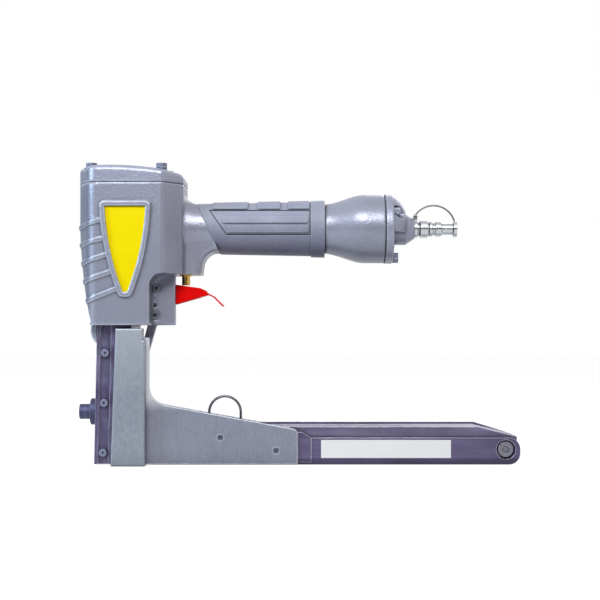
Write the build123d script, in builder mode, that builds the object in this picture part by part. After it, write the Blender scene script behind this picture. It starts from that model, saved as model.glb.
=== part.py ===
"""Pneumatic carton stapler, built as the separate pieces that it comes apart into.

Millimetres, +Z up. X runs from the nose (negative) to the rear of the magazine, Y runs across
the tool, and the sole of the tool lies on Z = 0.
"""

import os
from math import atan2, cos, degrees, hypot, radians, sin, sqrt

from build123d import *

os.makedirs("parts", exist_ok=True)

# Fits that many pieces share
running_gap = 0.3
slip = 0.05
seat_gap = 0.05

# Screw heads: hex socket and rim chamfer, as shares of the head
socket_share = 0.55
rim_share = 0.1

# Driver line: piston, blade and nose share this upright plane
drive_x = -142.0

# Head of the housing, measured from the driver line
head_front = 40.2
head_rear = 46.5
head_half_width = 36.0
head_front_corner = 29.0
head_rear_crease = 31.0
head_front_flat = 17.0
head_rear_flat = 19.0
head_corner_radius = 11.0
head_crease_radius = 5.0
head_top_z = 233.0
head_bottom_z = 116.0
head_straight_z = 214.0
head_shoulder_z = 158.5
head_shoulder_radius = 10.0
head_lower_rear = 20.0
head_taper = 12.5
chin_top_z = 119.0
chin_knee_z = 108.5
chin_knee = 4.4
chin_bottom_z = 101.5
chin_thickness = 0.8
chin_half_width = 26.0

# Raised ribs round the front of the head: height at the front and at the rear end of each
rib_height = 1.0
rib_width = 3.8
rib_front_z = (193.8, 179.2, 162.3, 145.8, 127.5)
rib_rear_z = (202.4, 187.0, 173.9, 160.0, 146.2)
rib_rear_x = (-18.9, -17.8, -14.3, -10.7, -5.4)
rib_front_reach = 52.0

# Badge on each side of the head
badge_x = 0.5
badge_top_z = 217.6
badge_tip_z = 139.0
badge_half_width = 21.0
badge_tip_half_width = 4.6
badge_bulge_half_width = 16.8
badge_bulge_z = 180.0
badge_corner_radius = 4.0
badge_tip_radius = 4.6
badge_frame_width = 4.0
badge_frame_height = 1.6
badge_recess = 1.0
badge_inlay_thickness = 0.8

# Air cylinder
bore_radius = 26.0
sleeve_wall = 2.95
cylinder_bottom_z = 163.0
sleeve_top_z = 228.0
sleeve_seal_width = 3.0
sleeve_seal_depth = 1.0
sleeve_seal_z = (175.0, 220.0)
well_front = 15.0
well_rear = 11.0
well_half_width = 20.5

# Piston, driver blade and bumper
piston_thickness = 12.0
piston_bottom_z = 211.0
piston_stroke = 33.0
piston_seal_width = 4.0
piston_seal_depth = 2.6
piston_boss_radius = 14.0
blade_thickness = 2.2
blade_half_width = 17.2
blade_neck_half_width = 10.0
blade_shoulder_z = 112.0
blade_tip_z = 34.0
blade_root = 11.0
driver_pin_radius = 2.5
driver_pin_drop = 8.0
bumper_bore_radius = 16.5

# Head cap, its gasket, screws and head valve
gasket_thickness = 0.7
cap_front_height = 12.9
cap_crown_height = 14.1
cap_crown_x = -18.0
cap_rear_height = 7.7
cap_edge_radius = 4.5
valve_radius = 27.95
valve_thickness = 7.6
valve_lift = 3.5
valve_stop_gap = 0.5
valve_seal_thickness = 1.15
valve_pocket_inner = 9.0
valve_pocket_outer = 15.0
valve_pocket_depth = 5.0
valve_spring_radius = 12.0
valve_spring_wire = 1.5
valve_spring_turns = 3
cap_screw_x = 29.0
cap_screw_y = 24.0
cap_screw_radius = 3.0
cap_screw_head_radius = 4.5
cap_screw_head_height = 6.0
cap_screw_depth = 18.0
cap_pad_depth = 2.6
cap_pad_radius = 6.0

# Handle: an oval core with a flared neck in front and a flared barrel behind
handle_z = 197.6
handle_start_x = -115.0
core_half_height = 17.5
core_half_width = 15.5
neck_half_height = 21.0
neck_half_width = 18.6
neck_flare_radius = 12.0
neck_flare_spread = 0.5
neck_flare_x = -84.3
air_passage_radius = 10.0
grip_front_top_x = -84.6
grip_front_bottom_x = -66.0
grip_front_height = 41.0
barrel_start_x = 23.0
barrel_end_x = 72.3
barrel_start_radius = 20.8
barrel_middle_x = 40.0
barrel_middle_radius = 25.2
barrel_flare_x = 57.0
barrel_radius = 28.9
barrel_wall = 5.0

# Valve boss under the neck and the trigger valve in it
valve_x = -95.1
boss_front_x = -107.0
boss_rear_x = -81.3
boss_side_z = 166.0
boss_half_width = 16.0
boss_corner_radius = 5.0
boss_draft = 1.0
boss_blend_x = -65.5
boss_blend_z = 177.8
valve_body_radius = 6.0
valve_rim_radius = 5.3
valve_rim_drop = 1.0
valve_body_height = 20.0
stem_radius = 3.5
stem_tail_radius = 2.6
stem_chamber_radius = 4.6
stem_chamber_floor = 7.0
stem_chamber_roof = 2.0
stem_collar_radius = 4.2
stem_collar_height = 1.6
stem_tail = 3.0
stem_spring_radius = 3.5
stem_spring_wire = 0.7
stem_spring_turns = 4

# Trigger bracket, trigger and the stay behind the nose
bracket_rear_x = -102.9
bracket_right_rear_x = -107.0
bracket_half_width = 16.0
bracket_slot_half_width = 7.0
bracket_slot_front_x = -125.0
bracket_slot_top_z = 157.0
stay_slot_front_x = -129.0
stay_slot_top_z = 124.0
trigger_pin_x = -118.6
trigger_pin_z = 147.1
trigger_pin_radius = 3.65
trigger_half_width = 6.0
trigger_sheet = 1.2
trigger_profile = (
    (-124.0, 142.0),
    (-124.0, 151.4),
    (-104.8, 150.5),
    (-91.8, 148.6),
    (-82.5, 147.3),
    (-78.0, 145.3),
    (-75.2, 141.7),
    (-103.7, 133.5),
    (-112.0, 138.0),
)
trigger_lip_bend = 3.0
trigger_lip = ((-77.6, 143.2), (-71.1, 139.8), (-63.3, 132.1))
stay_pin_x = -119.6
stay_pin_z = 124.2
stay_pin_radius = 3.9
pin_edge = 0.4
pin_socket_depth = 6.0
bracket_hole_z = 132.8
bracket_hole_radius = 1.7
stay_half_width = 2.5
stay_eye_radius = 5.0
stay_neck_x = -123.4
stay_neck_z = 117.0
stay_neck_radius = 3.7
stay_foot_x = -133.9
stay_foot_z = 79.0
stay_foot_radius = 3.2
stay_bolt_radius = 2.2

# Rubber grip
grip_front_half_height = 21.2
grip_front_half_width = 18.6
grip_rear_half_height = 23.2
grip_rear_half_width = 20.4
grip_section_x = -90.0
grip_rear_x = 22.5
grip_relief = 1.0
grip_collar_x = 11.0
bar_front_x = (-63.0, -59.0)
bar_rear_x = 8.4
bar_z = (204.0, 195.9)
bar_height = 5.8
bar_corner = 1.2
pad_spans = ((-72.0, -42.0), (-34.0, -15.0), (-8.3, 9.6))
pad_bottom_z = 213.4
panel_groove = 0.9
panel_front_x = -74.0
panel_foot_x = -59.5
panel_rear_x = 10.0
panel_top_z = 212.0
panel_bottom_z = 191.4

# End cap, inlet and air plug
end_gasket_thickness = 1.2
end_cap_radius = 29.3
end_cap_flange = 6.4
hump_length = 11.2
hump_brow = 0.9
hump_shoulder_length = 8.1
hump_shoulder_radius = 21.8
hump_foot_radius = 12.2
hump_floor = 4.0
hump_step = 1.2
end_cap_edge = 0.8
inlet_radius = 13.5
inlet_length = 11.1
inlet_cone = 7.4
inlet_tip_radius = 8.5
inlet_bore_radius = 5.0
end_screw_circle = 24.4
end_screw_radius = 2.5
end_screw_head_radius = 4.3
end_screw_head_height = 5.0
end_screw_depth = 14.0
end_screw_pocket = 5.6
plug_bore_radius = 2.4
plug_thread_length = 9.0
collar_thickness = 2.6
collar_radius = 7.7
plug_seat_length = 2.2
plug_seat_radius = 6.0
plug_hex_radius = 7.5
plug_hex_length = 7.0
plug_groove_radius = 5.4
plug_groove_length = 0.8
plug_ring_radius = 6.4
plug_ring_length = 3.4
plug_waist_length = 1.8
plug_bead_length = 5.6
plug_shank_radius = 4.9
plug_shank_length = 9.5
plug_edge = 0.6
dust_cap_radius = 6.9
dust_cap_thickness = 2.8
dust_cap_gap = 0.5
arch_wire_radius = 0.75
arch_eye_radius = 1.9
arch_eye_half_width = 0.55
arch_pin_radius = 0.8
arch_ear_thickness = 1.2
arch_foot_z = 10.4
arch_crown_z = 20.0
arch_entry = 1.5

# Nose frame and what slides in it, stacked forward from the driver line
side_y = 27.0
nose_bottom_z = 1.0
nose_front_top_x = -166.0
nose_front_bottom_x = -168.5
nose_block_z = 62.0
nose_block_rear_x = -137.5
nose_step_z = 34.0
front_plate_thickness = 2.4
front_plate_half_width = 20.0
yoke_thickness = 3.0
clincher_thickness = 4.6
nose_post_half_width = 5.0
nose_post_top_z = 27.0
nose_groove_depth = 1.5
nose_groove_width = 8.6
nose_groove_margin = 3.0
nose_screw_z = (93.0, 51.7, 10.7)
nose_screw_head_radius = 3.3
nose_screw_head_height = 3.4
nose_screw_radius = 2.0
nose_screw_depth = 8.0
plate_screw_z = (8.0, 20.0)
plate_screw_radius = 1.6
plate_screw_head_radius = 3.2
plate_screw_head_height = 1.6
plate_screw_depth = 5.0
front_bolt_z = 42.7
front_bolt_head_radius = 6.4
front_bolt_head_length = 9.7
front_bolt_radius = 4.0
front_bolt_depth = 9.0
front_washer_radius = 11.2
front_washer_thickness = 8.7
spot_face_depth = 1.0

# Clinchers: claws that turn about pins beside the driver blade
pivot_y = 12.5
pivot_z = 10.5
pivot_radius = 3.5
pivot_depth = 11.0
clincher_boss_radius = 6.4
claw_inner_radius = 14.0
claw_outer_radius = 18.5
claw_tip_angle = -34.0
claw_point_angle = 8.0
claw_heel_angle = -5.0
claw_back_angle = 50.0
claw_anvil_angle = -16.0
claw_anvil_reach = 4.0
follower_reach = 13.2
follower_angle = 31.0
follower_radius = 2.0

# Yoke that carries both followers down
yoke_half_width = 30.5
yoke_leg_inner_y = 6.6
yoke_web = 2.4
yoke_bridge_z = 40.5
yoke_bridge_height = 12.0
yoke_stem_half_width = 9.0
yoke_slot_play = 0.25
yoke_slot_extra = 0.4
yoke_seat_z = 150.0
yoke_seat_radius = 5.2
yoke_seat_thickness = 4.0
yoke_spring_x = -150.5
yoke_spring_radius = 3.8
yoke_spring_wire = 1.0
yoke_spring_turns = 10

# Cheeks over the clinchers
cheek_outer_y = 36.0
cheek_wall = 2.2
cheek_edge_radius = 1.5
cheek_front_top_x = -149.6
cheek_front_bottom_x = -153.7
cheek_rear_x = -125.4
cheek_top_z = 113.2
cheek_notch_x = -127.2
cheek_notch_z = 103.5
right_cheek_rear_x = -132.0
right_cheek_notch_x = -138.5
cheek_mouth_z = 32.0

# Arms from the nose to the magazine
arm_thickness = 6.0
arm_column_x = -123.3
arm_top_z = 105.5
arm_bottom_z = 1.0
arm_bend_x = -111.0
arm_bend_z = 49.5
arm_bend_top_z = 66.0
right_arm_column_x = -130.5
right_arm_bend_x = -117.0
right_arm_bend_z = 47.6
right_arm_bend_top_z = 64.5
right_arm_end_z = 26.4
arm_end_x = -0.3
arm_end_z = 29.2
arm_end_radius = 4.0
arm_relief = 2.6
arm_relief_end_x = -112.0
arm_screw_places = ((-64.3, 22.8), (-18.1, 12.1))
arm_screw_radius = 1.6
arm_screw_head_radius = 2.8
arm_screw_head_depth = 1.6

# Magazine channel, staple rail and pusher
channel_wall = 2.0
channel_rear_x = 185.0
channel_near_z = 22.3
channel_far_z = 32.4
channel_far_slope_x = 152.0
channel_tab_x = 11.0
channel_tab_top_x = 3.2
channel_tab_z = 27.1
channel_tab_thickness = 1.0
channel_end_radius = 9.5
staple_leg_gap = 3.0
rail_wall = 2.0
rail_top_z = 31.0
rail_rear_x = 183.0
rail_slope_x = 150.0
rail_slope_z = 23.0
rail_web = 3.0
guide_rod_radius = 2.5
guide_rod_z = 16.5
rear_block_x = 160.0
rear_block_length = 20.0
rear_block_top_z = 20.4
guide_rod_seat = 8.0
rear_bolt_x = 173.0
rear_bolt_z = 12.5
rear_bolt_radius = 3.0
rear_bolt_head_radius = 6.4
rear_bolt_head_height = 3.2
rear_bolt_window_radius = 8.0
pusher_front_gap = 0.4
pusher_length = 94.0
pusher_sheet = 2.0
pusher_skirt_z = 12.0
pusher_travel = 140.0
tongue_half_width = 2.8
tongue_length = 9.0
tongue_bottom_z = 10.0
tongue_x = -60.0
feed_spring_radius = 4.8
feed_spring_wire = 1.3
feed_spring_turns = 26
bail_x = -62.0
bail_radius = 13.4
bail_wire_radius = 1.15
bail_straight = 9.0
label_front_x = 19.2
label_rear_x = 127.2
label_bottom_z = 5.5
label_top_z = 20.5
label_thickness = 0.25


def save(builder, name):
    """Label a finished piece and write it to its own file."""
    builder.part.label = name
    export_step(builder.part, f"parts/{name}.step")


def outline(points, plane):
    """Closed face with straight sides on a plane."""
    with BuildSketch(plane) as face:
        with BuildLine():
            Polyline(*points, close=True)
        make_face()
    return face.sketch


def side_outline(points, y=0.0):
    """Closed face with straight sides, drawn in X and Z at one place across the tool."""
    return outline(points, Plane.XZ.offset(-y))


def disc(radius, plane, u=0.0, v=0.0):
    """Round face at (u, v) on a plane."""
    with BuildSketch(plane) as face:
        with Locations((u, v)):
            Circle(radius)
    return face.sketch


def ring(outer, inner, plane, u=0.0, v=0.0):
    """Flat ring at (u, v) on a plane."""
    with BuildSketch(plane) as face:
        with Locations((u, v)):
            Circle(outer)
            Circle(inner, mode=Mode.SUBTRACT)
    return face.sketch


def bar(plane, u_from, u_to, v_from, v_to):
    """Rectangular face between two corners on a plane."""
    with BuildSketch(plane) as face:
        with Locations(((u_from + u_to) / 2, (v_from + v_to) / 2)):
            Rectangle(u_to - u_from, v_to - v_from)
    return face.sketch


def oval(x, half_width, half_height, z=handle_z):
    """Oval section of the handle, square to X."""
    with BuildSketch(Plane.YZ.offset(x)) as face:
        with Locations((0, z)):
            Ellipse(half_width, half_height)
    return face.sketch


def coil_solid(start, axis, across, radius, wire, length, turns):
    """Wire spring: quarter turns of a helix, each as two arcs that share a tangent."""
    axis = Vector(axis)
    across = Vector(across)
    third = axis.cross(across)
    base = Vector(start)
    steps = 4 * turns
    turn = radians(90)
    rise = length / steps

    def point(step):
        angle = step * turn
        return base + axis * (rise * step) + across * (radius * cos(angle)) + third * (radius * sin(angle))

    def tangent(step):
        angle = step * turn
        speed = axis * (rise / turn) + across * (-radius * sin(angle)) + third * (radius * cos(angle))
        return speed.normalized()

    with BuildPart() as spring:
        with BuildLine():
            for step in range(steps):
                first, last = point(step), point(step + 1)
                leave, arrive = tangent(step), tangent(step + 1)
                chord = last - first
                both = leave + arrive
                spread = 4 - both.dot(both)
                along = chord.dot(both)
                reach = (sqrt(along * along + spread * chord.dot(chord)) - along) / spread
                near = first + leave * reach
                far = last - arrive * reach
                joint = (near + far) * 0.5
                TangentArc(first, joint, tangent=leave)
                TangentArc(joint, last, tangent=far - near)
        with BuildSketch(Plane(origin=point(0), z_dir=tangent(0))):
            Circle(wire / 2)
        sweep()
    least_gap = min((point(step + 4) - point(step)).length for step in range(steps - 3)) - wire
    print(f"spring of {turns} turns: least gap to itself {least_gap:.2f} mm")
    return spring.part


# Places that several pieces share
sleeve_radius = bore_radius + sleeve_wall
cylinder_bore = sleeve_radius + seat_gap
cap_base_z = head_top_z + gasket_thickness
head_front_x = drive_x - head_front
boss_bottom_z = head_shoulder_z
head_rear_x = drive_x + head_rear
stroke_room = piston_bottom_z - piston_stroke - cylinder_bottom_z
bumper_thickness = stroke_room - running_gap
piston_boss_length = stroke_room - 2 * running_gap
piston_boss_z = piston_bottom_z - piston_boss_length
valve_bottom_z = sleeve_top_z + seat_gap + valve_seal_thickness
cap_ceiling_z = valve_bottom_z + valve_thickness + valve_lift + valve_stop_gap
cap_pad_z = cap_base_z + cap_front_height - cap_pad_depth
cap_screw_sites = [(drive_x + sx * cap_screw_x, sy * cap_screw_y) for sx in (-1, 1) for sy in (-1, 1)]
front_plate_back_x = drive_x - blade_thickness / 2 - running_gap
front_plate_front_x = front_plate_back_x - front_plate_thickness
yoke_back_x = front_plate_front_x - running_gap
yoke_front_x = yoke_back_x - yoke_thickness
clincher_back_x = yoke_front_x - running_gap
clincher_front_x = clincher_back_x - clincher_thickness
nose_wall_x = clincher_front_x - running_gap
magazine_front_x = drive_x + blade_thickness / 2 + running_gap
nose_lean = (nose_front_top_x - nose_front_bottom_x) / (head_bottom_z - nose_bottom_z)
channel_half_width = side_y - arm_thickness
channel_inner = channel_half_width - channel_wall
rail_half_width = channel_inner - staple_leg_gap
end_cap_x = barrel_end_x + end_gasket_thickness
end_face_x = end_cap_x + end_cap_flange
inlet_end_x = end_face_x + inlet_length + inlet_cone
end_screw_sites = [
    (end_screw_circle * cos(radians(angle)), handle_z + end_screw_circle * sin(radians(angle)))
    for angle in (30, 150, 270)
]
follower_y = pivot_y + follower_reach * cos(radians(follower_angle))
follower_z = pivot_z + follower_reach * sin(radians(follower_angle))


def nose_front_x(z):
    """Front face of the nose, which leans forward towards the sole."""
    return nose_front_bottom_x + nose_lean * (z - nose_bottom_z)


def head_plan(grow, z):
    """Plan of the head and its cap, grown all round."""
    front = head_front_x - grow
    rear = head_rear_x + grow
    half = head_half_width + grow
    front_corner = drive_x - head_front_corner
    crease = drive_x + head_rear_crease
    points = [
        (front, -head_front_flat),
        (front_corner, -half),
        (crease, -half),
        (rear, -head_rear_flat),
        (rear, head_rear_flat),
        (crease, half),
        (front_corner, half),
        (front, head_front_flat),
    ]
    soft, crisp = head_corner_radius, head_crease_radius
    with BuildSketch(Plane.XY.offset(z)) as face:
        with BuildLine():
            FilletPolyline(*points, radius=[soft, soft, crisp, crisp, crisp, crisp, soft, soft], close=True)
        make_face()
    return face.sketch


def head_side(grow):
    """Side view of the head: straight, then drawn in towards the chin, with a stepped rear."""
    front = head_front_x - grow
    chin_back_x = nose_front_x(chin_bottom_z) - running_gap
    shoulder_x = drive_x + head_lower_rear
    with BuildSketch(Plane.XZ) as face:
        with BuildLine():
            upright = Line((front, head_top_z), (front, head_straight_z))
            sweep_in = TangentArc(upright @ 1, (front + head_taper, chin_top_z), tangent=upright % 1)
            chin = ThreePointArc(
                sweep_in @ 1,
                (chin_back_x - chin_knee - grow, chin_knee_z),
                (chin_back_x - chin_thickness - grow, chin_bottom_z),
            )
            lower = Polyline(
                chin @ 1,
                (chin_back_x, chin_bottom_z),
                (chin_back_x, head_bottom_z),
                (shoulder_x, head_bottom_z),
                (shoulder_x, head_shoulder_z - head_shoulder_radius),
            )
            shoulder = TangentArc(
                lower @ 1, (shoulder_x + head_shoulder_radius, head_shoulder_z), tangent=lower % 1
            )
            Polyline(
                shoulder @ 1,
                (head_rear_x + grow, head_shoulder_z),
                (head_rear_x + grow, head_top_z),
                upright @ 0,
            )
        make_face()
    return face.sketch


def badge_shape(y, inset):
    """Shield outline of the badge on the side at y, drawn in by inset."""
    with BuildSketch(Plane.XZ.offset(-y)) as face:
        with BuildLine():
            middle_x = drive_x + badge_x
            left = (middle_x - badge_half_width, badge_top_z)
            right = (middle_x + badge_half_width, badge_top_z)
            tip_left = (middle_x - badge_tip_half_width, badge_tip_z)
            tip_right = (middle_x + badge_tip_half_width, badge_tip_z)
            Line(left, right)
            ThreePointArc(right, (middle_x + badge_bulge_half_width, badge_bulge_z), tip_right)
            Line(tip_right, tip_left)
            ThreePointArc(tip_left, (middle_x - badge_bulge_half_width, badge_bulge_z), left)
        make_face()
        fillet(face.vertices().sort_by(Axis.Y)[:2], radius=badge_tip_radius)
        fillet(face.vertices().sort_by(Axis.Y)[-2:], radius=badge_corner_radius)
        if inset:
            offset(amount=-inset, mode=Mode.REPLACE)
    return face.sketch


# Ribs round the front of the head, cut from a skin one rib height thick
with BuildPart() as head_ribs:
    extrude(head_plan(rib_height, chin_bottom_z), amount=head_top_z - chin_bottom_z)
    extrude(head_side(rib_height), amount=head_half_width + rib_height, both=True, mode=Mode.INTERSECT)
    with BuildSketch(Plane.XZ):
        for front_z, rear_z, rear_x in zip(rib_front_z, rib_rear_z, rib_rear_x):
            rise, run = rear_z - front_z, rib_front_reach + rear_x
            middle = (drive_x + (rear_x - rib_front_reach) / 2, (front_z + rear_z) / 2)
            with Locations(middle):
                SlotCenterToCenter(hypot(run, rise), rib_width, rotation=degrees(atan2(rise, run)))
    extrude(amount=head_half_width + rib_height, both=True, mode=Mode.INTERSECT)

# Valve boss that hangs under the neck, with rounded upright corners
with BuildPart() as valve_boss:
    with BuildSketch(Plane.XZ):
        with BuildLine():
            foot = Polyline(
                (boss_front_x, boss_bottom_z),
                (boss_rear_x, boss_bottom_z),
                (boss_rear_x + boss_draft, boss_side_z),
            )
            blend = TangentArc(foot @ 1, (boss_blend_x, boss_blend_z), tangent=foot % 1)
            Polyline(blend @ 1, (boss_blend_x, handle_z), (boss_front_x, handle_z), foot @ 0)
        make_face()
    extrude(amount=boss_half_width, both=True)
    rear_edges = valve_boss.faces().filter_by(lambda face: face.center().X > boss_rear_x).edges()
    fillet(rear_edges.filter_by(lambda edge: abs(edge.center().Y) > boss_half_width - slip
                                and edge.center().Z < boss_blend_z), radius=boss_corner_radius)

# Main housing: head, neck, handle core, flared barrel, valve boss and trigger bracket in one casting
with BuildPart() as main_housing:
    extrude(head_plan(0, chin_bottom_z), amount=head_top_z - chin_bottom_z)
    extrude(head_side(0), amount=head_half_width, both=True, mode=Mode.INTERSECT)
    add(head_ribs.part)
    # Neck flared into the head
    for depth in (1.0, 0.9, 0.7, 0.4, 0.0):
        flare = neck_flare_radius * (1 - sqrt(1 - depth * depth))
        x = neck_flare_x - depth * neck_flare_radius
        spread = neck_flare_spread * flare / neck_flare_radius
        add(oval(x, neck_half_width + spread, neck_half_height + flare))
    loft()
    extrude(oval(neck_flare_x, neck_half_width, neck_half_height), amount=grip_front_bottom_x - neck_flare_x)
    add(valve_boss.part)
    # Slanted shoulder where the grip begins
    slant = (grip_front_bottom_x - grip_front_top_x) / grip_front_height
    top_z = handle_z + 2 * neck_half_height
    low_z = handle_z - 2 * neck_half_height
    shoulder_low_x = grip_front_bottom_x + slant * (handle_z - grip_front_height / 2 - low_z)
    shoulder_top_x = grip_front_bottom_x + slant * (handle_z - grip_front_height / 2 - top_z)
    cut_points = [
        (shoulder_low_x, low_z), (barrel_end_x, low_z), (barrel_end_x, top_z), (shoulder_top_x, top_z)
    ]
    extrude(side_outline(cut_points), amount=head_half_width, both=True, mode=Mode.SUBTRACT)
    extrude(oval(handle_start_x, core_half_width, core_half_height), amount=barrel_start_x - handle_start_x)
    # Flared barrel
    with BuildSketch(Plane.XZ):
        with BuildLine():
            flared = Spline(
                (barrel_start_x, handle_z + barrel_start_radius),
                (barrel_middle_x, handle_z + barrel_middle_radius),
                (barrel_flare_x, handle_z + barrel_radius),
                tangents=((1, 0.12), (1, 0)),
            )
            Polyline(
                flared @ 1,
                (barrel_end_x, handle_z + barrel_radius),
                (barrel_end_x, handle_z),
                (barrel_start_x, handle_z),
                flared @ 0,
            )
        make_face()
    handle_axis = Axis((0, 0, handle_z), (1, 0, 0))
    revolve(axis=handle_axis)
    # Trigger bracket
    bracket_front_x = drive_x + head_lower_rear - head_shoulder_radius
    for rear_x, width in ((bracket_rear_x, bracket_half_width), (bracket_right_rear_x, -bracket_half_width)):
        bracket_points = [
            (bracket_front_x, head_bottom_z),
            (rear_x, head_bottom_z),
            (rear_x, head_shoulder_z + head_shoulder_radius),
            (bracket_front_x, head_shoulder_z + head_shoulder_radius),
        ]
        extrude(side_outline(bracket_points), amount=width)
    # Chin drawn in between the sides of the nose
    for y in (-head_half_width, head_half_width):
        extrude(
            bar(
                Plane.XY.offset(chin_bottom_z),
                head_front_x,
                nose_front_x(chin_bottom_z),
                min(y, y * chin_half_width / head_half_width),
                max(y, y * chin_half_width / head_half_width),
            ),
            amount=head_bottom_z - chin_bottom_z,
            mode=Mode.SUBTRACT,
        )
    # Badge frames
    for y, outward in ((-head_half_width, 1), (head_half_width, -1)):
        extrude(badge_shape(y, 0), amount=outward * badge_frame_height)
        extrude(badge_shape(y, badge_frame_width), amount=outward * badge_frame_height, mode=Mode.SUBTRACT)
        extrude(badge_shape(y, badge_frame_width), amount=-outward * badge_recess, mode=Mode.SUBTRACT)
    # Cylinder bore and the well below it
    extrude(
        disc(cylinder_bore, Plane.XY.offset(cylinder_bottom_z), drive_x),
        amount=head_top_z - cylinder_bottom_z,
        mode=Mode.SUBTRACT,
    )
    extrude(
        bar(
            Plane.XY.offset(head_bottom_z),
            drive_x - well_front,
            drive_x + well_rear,
            -well_half_width,
            well_half_width,
        ),
        amount=cylinder_bottom_z - head_bottom_z,
        mode=Mode.SUBTRACT,
    )
    # Air passage from the barrel to the cylinder
    extrude(
        disc(air_passage_radius, Plane.YZ.offset(drive_x), 0, handle_z),
        amount=barrel_end_x - drive_x,
        mode=Mode.SUBTRACT,
    )
    reservoir = [
        (barrel_start_x, handle_z),
        (barrel_start_x, handle_z + air_passage_radius),
        (barrel_flare_x, handle_z + barrel_radius - barrel_wall - end_screw_head_radius),
        (barrel_end_x, handle_z + barrel_radius - barrel_wall - end_screw_head_radius),
        (barrel_end_x, handle_z),
    ]
    add(side_outline(reservoir))
    revolve(axis=handle_axis, mode=Mode.SUBTRACT)
    # Valve hole
    extrude(
        disc(valve_body_radius + seat_gap, Plane.XY.offset(boss_bottom_z), valve_x),
        amount=handle_z - boss_bottom_z,
        mode=Mode.SUBTRACT,
    )
    # Slot for the trigger and the stay
    slot_points = [
        (bracket_slot_front_x, head_bottom_z),
        (bracket_rear_x, head_bottom_z),
        (bracket_rear_x, bracket_slot_top_z),
        (bracket_slot_front_x, bracket_slot_top_z),
    ]
    extrude(side_outline(slot_points), amount=bracket_slot_half_width, both=True, mode=Mode.SUBTRACT)
    stay_slot_points = [
        (stay_slot_front_x, head_bottom_z),
        (bracket_rear_x, head_bottom_z),
        (bracket_rear_x, stay_slot_top_z),
        (stay_slot_front_x, stay_slot_top_z),
    ]
    extrude(
        side_outline(stay_slot_points), amount=stay_half_width + running_gap, both=True, mode=Mode.SUBTRACT
    )
    # Cross holes
    for x, z, radius in (
        (trigger_pin_x, trigger_pin_z, trigger_pin_radius),
        (stay_pin_x, stay_pin_z, stay_pin_radius),
        (stay_pin_x, bracket_hole_z, bracket_hole_radius),
    ):
        extrude(disc(radius, Plane.XZ, x, z), amount=bracket_half_width, both=True, mode=Mode.SUBTRACT)
    # Screw holes for the two caps
    for x, y in cap_screw_sites:
        extrude(
            disc(cap_screw_radius, Plane.XY.offset(head_top_z), x, y),
            amount=-cap_screw_depth,
            mode=Mode.SUBTRACT,
        )
    for y, z in end_screw_sites:
        extrude(
            disc(end_screw_radius, Plane.YZ.offset(barrel_end_x), y, z),
            amount=-end_screw_depth,
            mode=Mode.SUBTRACT,
        )
save(main_housing, "main_housing")

# Badge inlays, one blank plate in each frame
with BuildPart() as badge_inlays:
    floor_y = head_half_width - badge_recess
    for y, outward in ((-floor_y, 1), (floor_y, -1)):
        extrude(badge_shape(y, badge_frame_width + seat_gap), amount=outward * badge_inlay_thickness)
save(badge_inlays, "badge_inlays")

# Gasket between head and cap
with BuildPart() as head_gasket:
    extrude(head_plan(0, head_top_z), amount=gasket_thickness)
    extrude(
        disc(cylinder_bore, Plane.XY.offset(head_top_z), drive_x), amount=gasket_thickness, mode=Mode.SUBTRACT
    )
    for x, y in cap_screw_sites:
        extrude(
            disc(cap_screw_radius, Plane.XY.offset(head_top_z), x, y),
            amount=gasket_thickness,
            mode=Mode.SUBTRACT,
        )
save(head_gasket, "head_gasket")

# Head cap with a crowned roof, a valve chamber below and a flat for each screw
with BuildPart() as head_cap:
    extrude(head_plan(0, cap_base_z), amount=cap_crown_height)
    with BuildSketch(Plane.XZ):
        with BuildLine():
            roof = ThreePointArc(
                (head_front_x, cap_base_z + cap_front_height),
                (drive_x + cap_crown_x, cap_base_z + cap_crown_height),
                (head_rear_x, cap_base_z + cap_rear_height),
            )
            Polyline(roof @ 1, (head_rear_x, cap_base_z), (head_front_x, cap_base_z), roof @ 0)
        make_face()
    extrude(amount=head_half_width, both=True, mode=Mode.INTERSECT)
    fillet(head_cap.faces().sort_by(Axis.Z)[-1].edges(), radius=cap_edge_radius)
    extrude(
        disc(valve_radius + slip, Plane.XY.offset(cap_base_z), drive_x),
        amount=cap_ceiling_z - cap_base_z,
        mode=Mode.SUBTRACT,
    )
    for x, y in cap_screw_sites:
        extrude(
            disc(cap_screw_radius, Plane.XY.offset(cap_base_z), x, y),
            amount=cap_crown_height,
            mode=Mode.SUBTRACT,
        )
        extrude(
            disc(cap_pad_radius, Plane.XY.offset(cap_pad_z), x, y),
            amount=cap_screw_head_height,
            mode=Mode.SUBTRACT,
        )
save(head_cap, "head_cap")


def socket_screw(plane, u, v, head_radius, head_height, radius, depth):
    """Socket head screw whose head stands on a plane and whose shank goes down behind it."""
    with BuildPart() as screw:
        extrude(disc(head_radius, plane, u, v), amount=head_height)
        extrude(disc(radius, plane, u, v), amount=-depth)
        with BuildSketch(plane.offset(head_height)):
            with Locations((u, v)):
                RegularPolygon(head_radius * socket_share, 6)
        extrude(amount=-head_height * socket_share, mode=Mode.SUBTRACT)
        head_rim = screw.faces().filter_by(plane).sort_by(Axis(plane.origin, plane.z_dir))[-1]
        chamfer(head_rim.outer_wire().edges(), length=head_height * rim_share)
    return screw.part


def hex_socket(plane, u, v, head_radius, head_depth):
    """Hexagon socket sunk into the end of a screw."""
    with BuildPart() as socket:
        with BuildSketch(plane):
            with Locations((u, v)):
                RegularPolygon(head_radius * socket_share, 6)
        extrude(amount=-head_depth * socket_share)
    return socket.part


# Four cap screws
with BuildPart() as cap_screws:
    for x, y in cap_screw_sites:
        add(
            socket_screw(
                Plane.XY.offset(cap_pad_z),
                x,
                y,
                cap_screw_head_radius,
                cap_screw_head_height,
                cap_screw_radius,
                cap_pad_z - head_top_z + cap_screw_depth - running_gap,
            )
        )
save(cap_screws, "cap_screws")

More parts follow.
